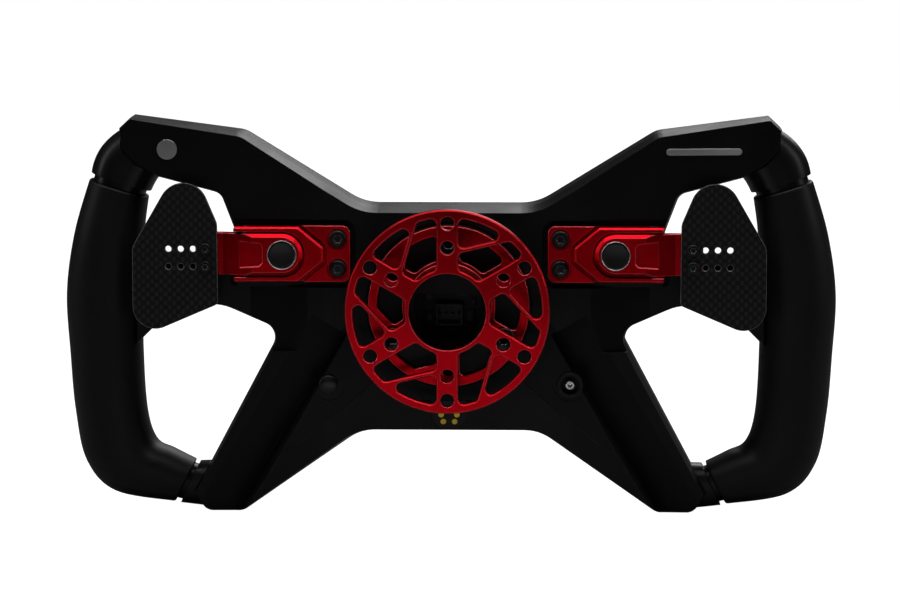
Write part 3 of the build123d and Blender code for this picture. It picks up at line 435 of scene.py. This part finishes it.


# The second colour of each finish goes on its sharp edges, partly rubbing and partly painted highlight; the
# bright red edges of red_anodised are a painted highlight on its chamfers.
FINISHES = (
    Finish("shell_black", (0.0028, 0.0029, 0.0032), (0.02, 0.02, 0.021), roughness=0.42, specular=0.17,
           depth=0.3, wear_and_painted_highlight=0.5, dust=0.02),
    Finish("grip_rubber", (0.004, 0.004, 0.0043), (0.01, 0.01, 0.01), roughness=0.52, specular=0.22,
           relief=Relief.PEBBLED, depth=0.4, grain_scale=1500.0, wear_and_painted_highlight=0.2, dust=0.03),
    Finish("core_black", (0.005, 0.005, 0.0055), (0.03, 0.03, 0.03), roughness=0.38, specular=0.24,
           wear_and_painted_highlight=0.4),
    Finish("red_anodised", (0.46, 0.002, 0.008), (1.0, 0.1, 0.12), roughness=0.3, metallic=1.0,
           relief=Relief.TURNED, depth=0.12, grain_scale=2200.0, wear_and_painted_highlight=1.0, reach=0.0006, gain=16.0),
    Finish("black_steel", (0.008, 0.008, 0.009), (0.3, 0.3, 0.3), roughness=0.28, metallic=0.6,
           grain_scale=1600.0, reach=0.0003, gain=8.0),
    Finish("steel", (0.5, 0.5, 0.51), (0.8, 0.8, 0.8), roughness=0.26, metallic=1.0, relief=Relief.BRUSHED,
           reach=0.0002),
    Finish("cap_black", (0.006, 0.006, 0.0065), (0.05, 0.05, 0.05), roughness=0.34, specular=0.35,
           reach=0.0002),
    Finish("magnet_nickel", (0.6, 0.59, 0.56), (0.85, 0.85, 0.85), roughness=0.18, metallic=1.0,
           depth=0.05),
    Finish("contact_gold", (1.0, 0.7, 0.03), (1.0, 0.85, 0.3), roughness=0.35, metallic=0.1, depth=0.05,
           reach=0.0001),
    Finish("badge_silver", (0.62, 0.62, 0.63), (0.9, 0.9, 0.9), roughness=0.36, metallic=1.0,
           relief=Relief.BRUSHED, depth=0.15, reach=0.0002),
    # board_dark is darkened almost to black as painted shade for the deep hub bore that the board sits in.
    Finish("board_dark", (0.0012, 0.0018, 0.0015), (0.006, 0.007, 0.007), roughness=0.5, specular=0.2,
           depth=0.15, wear_and_painted_highlight=0.3),
    Finish("plastic_black", (0.004, 0.004, 0.0045), (0.02, 0.02, 0.02), roughness=0.45, specular=0.25,
           wear_and_painted_highlight=0.5, reach=0.0002),
    Finish("bezel_black", (0.015, 0.015, 0.017), (0.2, 0.2, 0.2), roughness=0.3, metallic=0.9,
           relief=Relief.BRUSHED, depth=0.08, reach=0.0003),
    Finish("button_white", (0.6, 0.6, 0.58), (0.72, 0.72, 0.7), roughness=0.4, depth=0.15, wear_and_painted_highlight=0.4),
    Finish("button_red", (0.42, 0.008, 0.01), (0.6, 0.06, 0.06), roughness=0.4, depth=0.15, wear_and_painted_highlight=0.4),
    Finish("knob_black", (0.015, 0.015, 0.017), (0.22, 0.22, 0.22), roughness=0.3, metallic=0.9,
           relief=Relief.BRUSHED, depth=0.1, reach=0.0003),
)
# Warp and weft colours are a painted sheen by tow direction, and edge is a painted highlight on sharp
# edges.
CARBONS = (
    CarbonFinish("face_carbon", (0.022, 0.022, 0.024), (0.006, 0.006, 0.007), tow=0.0022, repeat=4.0,
                 roughness=0.3, coat=0.8),
    CarbonFinish("blade_carbon", (0.018, 0.018, 0.019), (0.001, 0.001, 0.0012), tow=0.00175, repeat=2.0,
                 roughness=0.55, coat=0.02, edge=0.5),
)


# ---------------------------------------------------------------- shapes
def spun(x: float, z: float, profile: list[tuple[float, float]], segments: int = 48,
         closed: bool = False) -> bmesh.types.BMesh:
    """Shape turned about an axis along Y.

    Args:
        x: The axis's X, in metres.
        z: The axis's Z, in metres.
        profile: (radius, Y) of each corner, in order.
        segments: Steps round the circle.
        closed: Whether the last corner joins the first, as in a ring.

    Returns:
        The turned mesh.
    """
    mesh = bmesh.new()
    verts = [bmesh.ops.create_vert(mesh, co=(x + radius, y, z))["vert"][0] for radius, y in profile]
    pairs = list(zip(verts, verts[1:] + verts[:1] if closed else verts[1:]))
    edges = [mesh.edges.new(pair) for pair in pairs]
    bmesh.ops.spin(mesh, geom=verts + edges, cent=(x, 0, z), axis=(0, 1, 0), angle=TAU, steps=segments,
                   use_merge=True)
    bmesh.ops.remove_doubles(mesh, verts=mesh.verts[:], dist=1e-7)
    return mesh


def ended(radius: float, y: float, ease: float, facing: int, steps: int = 4) -> list[tuple[float, float]]:
    """Corners of a rounded end edge, from the side to the face of a turned shape."""
    corners = []
    for step in range(steps + 1):
        turn = math.pi / 2 * step / steps
        corners.append((radius - ease * (1 - math.cos(turn)), y - facing * ease * (1 - math.sin(turn))))
    return corners


def joined(parts: list[bmesh.types.BMesh]) -> bmesh.types.BMesh:
    """All the meshes as one."""
    whole = bmesh.new()
    for part in parts:
        data = bpy.data.meshes.new("part")
        part.to_mesh(data)
        part.free()
        whole.from_mesh(data)
        bpy.data.meshes.remove(data)
    return whole


def bar(low: Vector, high: Vector, ease: float) -> bmesh.types.BMesh:
    """Small block with eased edges between two corners."""
    mesh = bmesh.new()
    bmesh.ops.create_cube(mesh, size=1.0)
    bmesh.ops.scale(mesh, verts=mesh.verts[:], vec=high - low)
    bmesh.ops.translate(mesh, verts=mesh.verts[:], vec=(low + high) / 2)
    bmesh.ops.bevel(mesh, geom=mesh.edges[:], offset=ease, offset_type="OFFSET", segments=2, profile=0.5,
                    affect="EDGES", material=-1)
    return mesh


def grown(mesh: bmesh.types.BMesh, ring: list[bmesh.types.BMEdge]) -> tuple[list, list]:
    """Extrudes a ring of edges in place, giving the new vertices and the new ring."""
    made = bmesh.ops.extrude_edge_only(mesh, edges=ring)["geom"]
    verts = [item for item in made if isinstance(item, bmesh.types.BMVert)]
    found = set(verts)
    edges = [item for item in made if isinstance(item, bmesh.types.BMEdge) and set(item.verts) <= found]
    return verts, edges


def islands(node: str) -> list[tuple[Vector, Vector]]:
    """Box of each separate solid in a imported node, as (lowest, highest) corners."""
    mesh = bmesh.new()
    mesh.from_mesh(frame["nodes"][node].data)
    bmesh.ops.remove_doubles(mesh, verts=mesh.verts[:], dist=1e-6)
    loose = set(mesh.verts)
    boxes = []
    while loose:
        queue = [loose.pop()]
        found = []
        while queue:
            vert = queue.pop()
            found.append(vert.co)
            near = {edge.other_vert(vert) for edge in vert.link_edges} & loose
            loose -= near
            queue.extend(near)
        boxes.append(tuple(Vector([pick(co[axis] for co in found) for axis in range(3)])
                           for pick in (min, max)))
    mesh.free()
    return boxes


@dataclass(frozen=True)
class ScrewShape:
    """Screw with a domed or flat head and a drive recess, all in millimetres."""

    head: float
    shank: float
    dome: float
    drive: Drive
    mouth: float
    recess: float
    facing: Facing = Facing.REAR

    def build(self, low: Vector, high: Vector) -> bmesh.types.BMesh:
        """Makes one screw in the place of a packed one.

        Args:
            low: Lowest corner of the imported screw.
            high: Its highest corner.

        Returns:
            A closed mesh.
        """
        sign = self.facing.value
        x, z, radius = (low.x + high.x) / 2, (low.z + high.z) / 2, (high.x - low.x) / 2
        tail, top = (low.y, high.y) if sign > 0 else (high.y, low.y)
        under = top - sign * self.head * MM
        shank, mouth = self.shank * MM, self.mouth * MM
        profile = [(0.0, tail), (shank, tail), (shank, under), (radius * SEAT_SHARE, under),
                   (radius, under + sign * SEAT_EASE)]
        profile += ended(radius, top, self.dome * MM, sign) + [(mouth * MOUTH_RIM, top)]
        mesh = spun(x, z, profile)
        rim = [edge for edge in mesh.edges if len(edge.link_faces) == 1]
        lip, _ = grown(mesh, rim)
        for vert in lip:
            arm = Vector((vert.co.x - x, 0, vert.co.z - z))
            goal = arm.normalized() * mouth * self._lobe(math.atan2(arm.z, arm.x))
            bmesh.ops.translate(mesh, verts=[vert], vec=goal - arm)
        found = set(lip)
        outline = [edge for edge in mesh.edges if len(edge.link_faces) == 1 and set(edge.verts) <= found]
        floor, ring = grown(mesh, outline)
        bmesh.ops.translate(mesh, verts=floor, vec=(0, -sign * self.recess * MM, 0))
        bmesh.ops.contextual_create(mesh, geom=ring)
        return mesh

    def _lobe(self, angle: float) -> float:
        """Share of the mouth's radius that the recess reaches in one direction."""
        if self.drive is Drive.STAR:
            return 1.0 + STAR_LOBE * math.cos(DRIVE_POINTS * angle)
        sector = TAU / DRIVE_POINTS
        return math.cos(sector / 2) / math.cos(angle % sector - sector / 2)


@dataclass
class Workshop:
    """Shared materials, and the last steps that every piece goes through."""

    effects: Effects = field(default_factory=Effects)
    materials: dict[str, bpy.types.Material] = field(default_factory=dict)

    def __post_init__(self) -> None:
        for finish in FINISHES + CARBONS:
            self.materials[finish.name] = finish.dress(self.effects)

    def dress_frame(self) -> None:
        """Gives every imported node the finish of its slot."""
        for part in frame["record"]["subparts"]:
            data = frame["nodes"][part["node"]].data
            data.materials.clear()
            data.materials.append(self.materials[part["material_slot"]])

    def place(self, mesh: bmesh.types.BMesh, name: str, body: str, slot: str,
              stands_for: tuple[str, ...] = (), sharp: float = 35.0) -> bpy.types.Object:
        """Turns a mesh into a finished piece.

        Args:
            mesh: The piece, in metres, where it belongs.
            name: The piece's name.
            body: The body that it rides on.
            slot: The material slot that it takes its finish from.
            stands_for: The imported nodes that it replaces.
            sharp: Edges that turn by more than this, in degrees, stay sharp.

        Returns:
            The new object.
        """
        bmesh.ops.remove_doubles(mesh, verts=mesh.verts[:], dist=1e-6)
        bmesh.ops.recalc_face_normals(mesh, faces=mesh.faces[:])
        for edge in mesh.edges:
            edge.smooth = len(edge.link_faces) == 2 and edge.calc_face_angle(0.0) < math.radians(sharp)
        for face in mesh.faces:
            face.smooth = True
        data = bpy.data.meshes.new(name)
        mesh.to_mesh(data)
        mesh.free()
        data.materials.append(self.materials[slot])
        piece = bpy.data.objects.new(name, data)
        bpy.context.scene.collection.objects.link(piece)
        if stands_for:
            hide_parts(*stands_for)
        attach(piece, body)
        LOG.info("%s: %d faces on %s", name, len(data.polygons), body)
        return piece


# ---------------------------------------------------------------- sub-assemblies
@dataclass
class Grips:
    """Moulded rubber grips.

    Sections run from the top down, each (inner X, inner Z, outer X, outer Z, depth) in millimetres.
    """

    sections: tuple[tuple[float, ...], ...] = (
        (121.6, 41.6, 145.2, 48.8, 25.5), (123.6, 26.0, 151.6, 27.0, 30.0), (124.4, 3.0, 155.0, 3.0, 30.0),
        (124.4, -22.0, 153.8, -22.0, 30.0), (123.0, -45.5, 151.9, -45.5, 30.0),
        (119.2, -57.6, 147.6, -66.0, 30.0), (112.0, -61.6, 136.0, -78.4, 30.0),
        (103.2, -66.0, 111.6, -82.7, 25.5),
    )
    middle_y: float = -43.0
    corner: float = 0.44
    fullness: float = 0.997
    steps: int = 9

    def build(self, workshop: Workshop) -> None:
        """Makes both grips."""
        for side in Side:
            mesh = self._mesh()
            bmesh.ops.scale(mesh, verts=mesh.verts[:], vec=(side.value, 1, 1))
            workshop.place(mesh, f"rubber_grip_{side.label}", "root", "grip_rubber",
                           (f"grip_{side.label}",), 60.0)

    def _section(self, along: float, size: float) -> Matrix:
        """Placing of the unit section at a place along the grip."""
        last = len(self.sections) - 1
        index = min(int(along), last - 1)
        part = along - index
        near = [Vector(self.sections[max(0, min(index + k, last))]) for k in (-1, 0, 1, 2)]
        value = (2 * near[1] + (near[2] - near[0]) * part
                 + (2 * near[0] - 5 * near[1] + 4 * near[2] - near[3]) * part ** 2
                 + (3 * near[1] - near[0] - 3 * near[2] + near[3]) * part ** 3) / 2
        inner, outer = Vector((value[0], 0, value[1])), Vector((value[2], 0, value[3]))
        across = (outer - inner).normalized()
        centre = (inner + outer) / 2 + Vector((0, self.middle_y, 0))
        axes = Matrix((across, Vector((0, 1, 0)), across.cross(Vector((0, 1, 0))))).transposed()
        scale = Matrix.Diagonal((*(Vector(((outer - inner).length, value[4], 1.0)) * size), 1.0))
        return Matrix.Scale(MM, 4) @ Matrix.Translation(centre) @ axes.to_4x4() @ scale

    def _mesh(self) -> bmesh.types.BMesh:
        """The right grip: one rounded section carried along it, with eased lips."""
        mesh = bmesh.new()
        bmesh.ops.create_circle(mesh, segments=4, radius=math.sqrt(0.5), cap_ends=True)
        square = Matrix.Rotation(math.pi / 4, 3, "Z")
        bmesh.ops.rotate(mesh, verts=mesh.verts[:], matrix=square, cent=(0, 0, 0))
        bmesh.ops.bevel(mesh, geom=mesh.verts[:], offset=self.corner, offset_type="OFFSET", segments=8,
                        profile=0.5, affect="VERTICES", material=-1)
        last = len(self.sections) - 1
        lips = [(0.0, 0.93), (0.012, 0.965), (0.035, 0.987), (0.07, self.fullness)]
        middle = [(last * k / (self.steps * last), self.fullness) for k in range(1, self.steps * last)]
        stations = lips + middle + [(last - along, size) for along, size in reversed(lips)]
        matrix = self._section(*stations[0])
        bmesh.ops.transform(mesh, matrix=matrix, verts=mesh.verts[:])
        ring = mesh.edges[:]
        for station in stations[1:]:
            after = self._section(*station)
            verts, ring = grown(mesh, ring)
            bmesh.ops.transform(mesh, matrix=after @ matrix.inverted(), verts=verts)
            matrix = after
        bmesh.ops.contextual_create(mesh, geom=ring)
        return mesh


@dataclass
class Fasteners:
    """Every screw, with its drive recess."""

    hub: ScrewShape = ScrewShape(3.2, 2.5, 0.35, Drive.HEXAGON, 2.3, 2.0)
    base: ScrewShape = ScrewShape(2.0, 1.5, 1.1, Drive.STAR, 1.5, 1.0)
    blade: ScrewShape = ScrewShape(1.5, 1.25, 0.7, Drive.STAR, 1.05, 0.8)
    plate: ScrewShape = ScrewShape(1.5, 1.5, 0.2, Drive.HEXAGON, 1.4, 0.9, Facing.DRIVER)

    def build(self, workshop: Workshop) -> None:
        """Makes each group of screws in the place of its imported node."""
        groups = [("hub_screws", "root", self.hub), ("plate_screws", "root", self.plate)]
        for side in Side:
            groups.append((f"paddle_base_screws_{side.label}", "root", self.base))
            groups.append((f"paddle_blade_screws_{side.label}", f"paddle_{side.label}", self.blade))
        for node, body, shape in groups:
            mesh = joined([shape.build(low, high) for low, high in islands(node)])
            workshop.place(mesh, f"fine_{node}", body, "black_steel", (node,))


@dataclass
class LeverCaps:
    """Dished black cap in a bright ring on the inner end of each paddle lever."""

    ring: float = 0.3 * MM
    dish: float = 0.35 * MM

    def build(self, workshop: Workshop) -> None:
        """Makes the cap and its ring on both sides."""
        for side in Side:
            low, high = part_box(f"paddle_lever_cap_{side.label}")
            x, z, radius = (low.x + high.x) / 2, (low.z + high.z) / 2, (high.x - low.x) / 2
            inner, top = radius - self.ring, high.y
            cap = spun(x, z, [(0.0, low.y), (inner, low.y), (inner, top - 0.3 * MM),
                              (inner - 0.4 * MM, top - 0.1 * MM), (inner - 0.9 * MM, top - 0.15 * MM),
                              (inner * 0.7, top - self.dish), (0.0, top - self.dish)])
            workshop.place(cap, f"lever_cap_{side.label}", f"paddle_{side.label}", "cap_black",
                           (f"paddle_lever_cap_{side.label}",), 50.0)
            ring = spun(x, z, [(inner, low.y), (radius, low.y)] + ended(radius, top, 0.15 * MM, 1, 2)
                        + [(inner + 0.1 * MM, top), (inner, top - 0.1 * MM)], 64, True)
            workshop.place(ring, f"lever_ring_{side.label}", f"paddle_{side.label}", "steel")


@dataclass
class RearControls:
    """Domed push button, round socket and magnetic dock on the rear."""

    stem: float = 1.9 * MM
    wall: float = 1.5 * MM

    def build(self, workshop: Workshop) -> None:
        """Makes the button, the socket and the dock's contacts."""
        self._button(workshop)
        self._socket(workshop)
        self._contacts(workshop)

    def _button(self, workshop: Workshop) -> None:
        """Domed cap with a fine step round it."""
        low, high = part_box("rear_button")
        x, z, radius, top = (low.x + high.x) / 2, (low.z + high.z) / 2, (high.x - low.x) / 2, high.y
        dome = [(radius * share, top - 0.7 * MM * share ** 3) for share in (0.86, 0.7, 0.5, 0.3, 0.0)]
        profile = [(0.0, low.y), (self.stem, low.y), (self.stem, top - 1.6 * MM), (radius, top - 1.6 * MM),
                   (radius, top - 0.9 * MM), (radius - 0.15 * MM, top - 0.65 * MM)]
        workshop.place(spun(x, z, profile + dome), "rear_button_cap", "rear_button", "cap_black",
                       ("rear_button",), 40.0)

    def _socket(self, workshop: Workshop) -> None:
        """Stepped socket barrel and its hollow centre contact."""
        low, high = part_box("accessory_socket")
        x, z, radius, top = (low.x + high.x) / 2, (low.z + high.z) / 2, (high.x - low.x) / 2, high.y
        bore, floor = radius - self.wall, low.y + self.wall
        barrel = [(0.0, low.y), (radius, low.y)] + ended(radius, top, 0.3 * MM, 1, 3)
        barrel += [(bore + 0.7 * MM, top), (bore + 0.6 * MM, top - 0.5 * MM), (bore, top - 0.6 * MM),
                   (bore, floor), (0.0, floor)]
        workshop.place(spun(x, z, barrel), "socket_barrel", "root", "plastic_black", ("accessory_socket",))
        low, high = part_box("socket_core")
        radius, top = (high.x - low.x) / 2, high.y
        core = [(0.0, low.y), (radius, low.y)] + ended(radius, top, 0.3 * MM, 1, 3)
        hollow, bottom = radius * 0.42, top - 3 * MM
        core += [(radius * 0.5, top), (hollow, top - 0.2 * MM), (hollow, bottom), (0.0, bottom)]
        workshop.place(spun(x, z, core), "socket_contact", "root", "steel", ("socket_core",))

    def _contacts(self, workshop: Workshop) -> None:
        """Domed contact pins."""
        pins = []
        for low, high in islands("dock_contacts"):
            radius = (high.x - low.x) / 2
            profile = [(0.0, low.y), (radius, low.y), *ended(radius, high.y, 0.35 * MM, 1), (0.0, high.y)]
            pins.append(spun((low.x + high.x) / 2, (low.z + high.z) / 2, profile, 24))
        workshop.place(joined(pins), "dock_pins", "root", "contact_gold", ("dock_contacts",), 50.0)


@dataclass
class FaceControls:
    """Dished button caps, bezels and knob pointers on the driver's side."""

    cap_height: float = 5.0 * MM
    dish: float = 0.45 * MM
    dish_share: float = 0.78
    stem: float = 1.9 * MM
    bezel_wall: float = 2.05 * MM

    def build(self, workshop: Workshop) -> None:
        """Makes the caps, the bezels and the pointers."""
        for part in frame["record"]["subparts"]:
            node = part["node"]
            if node.startswith("button_cap"):
                self._cap(workshop, node, part["material_slot"])
            if node.startswith("knob"):
                self._pointer(workshop, node)
        bezels = [self._bezel(low, high) for low, high in islands("button_bezels")]
        workshop.place(joined(bezels), "fine_bezels", "root", "bezel_black", ("button_bezels",))

    def _cap(self, workshop: Workshop, node: str, slot: str) -> None:
        """Cap with rounded edges and a finger dish, on its stem."""
        low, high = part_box(node)
        x, z, radius, top = (low.x + high.x) / 2, (low.z + high.z) / 2, (high.x - low.x) / 2, low.y
        under = top + self.cap_height
        profile = [(0.0, high.y), (self.stem, high.y), (self.stem, under), (radius, under)]
        profile += ended(radius, top, 1.0 * MM, -1, 6)
        profile += [(radius * share, top + self.dish * (1 - (share / self.dish_share) ** 2))
                    for share in (0.76, 0.6, 0.4, 0.2, 0.0)]
        workshop.place(spun(x, z, profile), f"fine_{node}", node, slot, (node,), 50.0)

    def _bezel(self, low: Vector, high: Vector) -> bmesh.types.BMesh:
        """Collar with a coin edge."""
        x, z, radius = (low.x + high.x) / 2, (low.z + high.z) / 2, (high.x - low.x) / 2
        inner, top = radius - self.bezel_wall, low.y
        groove, ease = radius - 0.25 * MM, 0.35 * MM
        profile = [(inner, high.y), (radius, high.y), (radius, top + 1.4 * MM), (groove, top + 1.2 * MM),
                   (groove, top + 0.9 * MM), (radius - 0.05 * MM, top + 0.75 * MM),
                   (radius - 0.75 * MM, top), (inner + ease, top), (inner, top + ease)]
        return spun(x, z, profile, 64, True)

    def _pointer(self, workshop: Workshop, node: str) -> None:
        """White pointer let into a knob's face."""
        low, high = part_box(node)
        x, z, radius = (low.x + high.x) / 2, (low.z + high.z) / 2, (high.x - low.x) / 2
        corner = Vector((x - 0.45 * MM, low.y + 0.05 * MM, z + 2.2 * MM))
        other = Vector((x + 0.45 * MM, low.y + 0.45 * MM, z + radius - 1.2 * MM))
        workshop.place(bar(corner, other, 0.12 * MM), f"pointer_{node}", node, "button_white")


@dataclass
class BoardParts:
    """Chips and their leads, which show through the hub's bore."""

    chips: tuple[tuple[float, float, float, float], ...] = (
        (-5.6, 4.2, 3.2, 1.6), (2.4, 4.4, 2.4, 1.4), (8.6, 3.0, 1.6, 2.4), (-8.6, -5.4, 1.6, 2.6),
        (8.8, -5.8, 1.8, 2.0), (-9.8, 0.6, 0.9, 1.2), (0.0, -11.2, 3.0, 0.9),
    )
    chip_height: float = 1.1
    lead: float = 0.18

    def build(self, workshop: Workshop) -> None:
        """Makes the chips with their leads."""
        _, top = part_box("main_board")
        bodies, leads = [], []
        for x, z, half_x, half_z in self.chips:
            low = Vector((x - half_x, 0, z - half_z)) * MM + Vector((0, top.y, 0))
            high = Vector((x + half_x, self.chip_height, z + half_z)) * MM + Vector((0, top.y, 0))
            bodies.append(bar(low, high, 0.12 * MM))
            count = max(1, int(half_x))
            for k in range(-count, count + 1):
                start = Vector((x + k * half_x * 0.8 / count - self.lead, 0, z - half_z - 0.5)) * MM
                end = Vector((x + k * half_x * 0.8 / count + self.lead, 0.45, z + half_z + 0.5)) * MM
                leads.append(bar(start + Vector((0, top.y, 0)), end + Vector((0, top.y, 0)), 0.05 * MM))
        workshop.place(joined(bodies), "board_chips", "root", "plastic_black")
        workshop.place(joined(leads), "board_leads", "root", "black_steel")


# ---------------------------------------------------------------- stage
@dataclass
class Studio:
    """Pale floor, soft lights and the camera."""

    distance: float = 1.5
    lens: float = 153.0
    azimuth: float = math.radians(181.7)
    elevation: float = math.radians(7.0)
    aim: tuple[float, float, float] = (-0.0011, 0.0, 0.0049)
    floor_half: float = 12.0
    floor_glow: float = 1.0
    room_light: float = 0.02

    def build(self) -> None:
        """Adds everything that isn't part of the wheel."""
        self._floor()
        self._room()
        self._camera()
        self._light("overhead", (0.0, 0.1, 0.95), (0, -0.03, 0), (1.5, 0.4), 7.5)
        self._light("rear_fill", (0.35, 1.7, 0.75), (0, 0, 0), (0.8, 0.5), 0.45)
        self._light("low_rear", (0.0, 0.26, -0.07), (0, 0, -0.02), (0.3, 0.02), 0.035)
        for side in Side:
            self._light(f"strip_{side.label}", (1.2 * side.value, 0.12, 0.55), (0, 0, 0), (0.15, 0.9), 2.0)
        self._light("driver_fill", (-0.5, -1.7, 0.9), (0, 0, 0), (1.2, 0.8), 9.0)
        bpy.context.scene.view_settings.view_transform = "Standard"

    def _floor(self) -> None:
        """Wide sheet of pale paper that the wheel stands on, bright to the camera alone."""
        mesh = bmesh.new()
        bmesh.ops.create_grid(mesh, x_segments=1, y_segments=1, size=self.floor_half)
        bmesh.ops.translate(mesh, verts=mesh.verts[:], vec=(0, 0, CAD_BOX[0].z))
        data = bpy.data.meshes.new("floor")
        mesh.to_mesh(data)
        mesh.free()
        material = bpy.data.materials.new("pale_paper")
        material.use_nodes = True
        graph = Graph(material.node_tree)
        shader = material.node_tree.nodes["Principled BSDF"]
        where, _ = graph.place()
        fibres = graph.add("TexNoise", Vector=where, Scale=90.0, Detail=5.0).outputs[0]
        paper = graph.blend(fibres, (0.3, 0.3, 0.3, 1.0), (0.33, 0.33, 0.33, 1.0))
        graph.feed(shader.inputs["Base Color"], paper)
        shader.inputs["Roughness"].default_value = 0.95
        shader.inputs["Specular IOR Level"].default_value = 0.1
        seen = graph.add("LightPath").outputs["Is Camera Ray"]
        shader.inputs["Emission Color"].default_value = (1.0, 1.0, 1.0, 1.0)
        graph.feed(shader.inputs["Emission Strength"], graph.math("MULTIPLY", seen, self.floor_glow))
        data.materials.append(material)
        floor = bpy.data.objects.new("floor", data)
        bpy.context.scene.collection.objects.link(floor)

    def _room(self) -> None:
        """White room that gives the wheel itself very little light."""
        world = bpy.data.worlds.new("room")
        bpy.context.scene.world = world
        world.use_nodes = True
        graph = Graph(world.node_tree)
        background = world.node_tree.nodes["Background"]
        background.inputs["Color"].default_value = (1.0, 1.0, 1.0, 1.0)
        seen = graph.add("LightPath").outputs["Is Camera Ray"]
        graph.feed(background.inputs["Strength"], graph.ramp(seen, 0.0, 1.0, self.room_light, 1.0))

    def _light(self, name: str, place: tuple[float, float, float], target: tuple[float, float, float],
               size: tuple[float, float], power: float) -> None:
        """One soft rectangular light aimed at a point."""
        data = bpy.data.lights.new(name, "AREA")
        data.shape = "RECTANGLE"
        data.size, data.size_y = size
        data.energy = power
        lamp = bpy.data.objects.new(name, data)
        lamp.visible_camera = False
        lamp.location = place
        lamp.rotation_euler = (Vector(target) - Vector(place)).to_track_quat("-Z", "Y").to_euler()
        bpy.context.scene.collection.objects.link(lamp)

    def _camera(self) -> None:
        """Long-lens view from behind the hub, a little above its axis."""
        data = bpy.data.cameras.new("camera")
        data.lens = self.lens
        data.clip_end = 30.0
        back = Vector((math.sin(self.azimuth) * math.cos(self.elevation),
                       -math.cos(self.azimuth) * math.cos(self.elevation), math.sin(self.elevation)))
        camera = bpy.data.objects.new("camera", data)
        camera.location = Vector(self.aim) + self.distance * back
        camera.rotation_euler = (-back).to_track_quat("-Z", "Y").to_euler()
        bpy.context.scene.collection.objects.link(camera)
        bpy.context.scene.camera = camera


def main() -> None:
    """Builds and dresses the whole wheel, then sets the stage."""
    logging.basicConfig(level=logging.INFO, format="%(name)s %(message)s")
    workshop = Workshop()
    workshop.dress_frame()
    for assembly in (Grips(), Fasteners(), LeverCaps(), RearControls(), FaceControls(), BoardParts()):
        assembly.build(workshop)
    Studio().build()


if __name__ == "__main__":
    main()
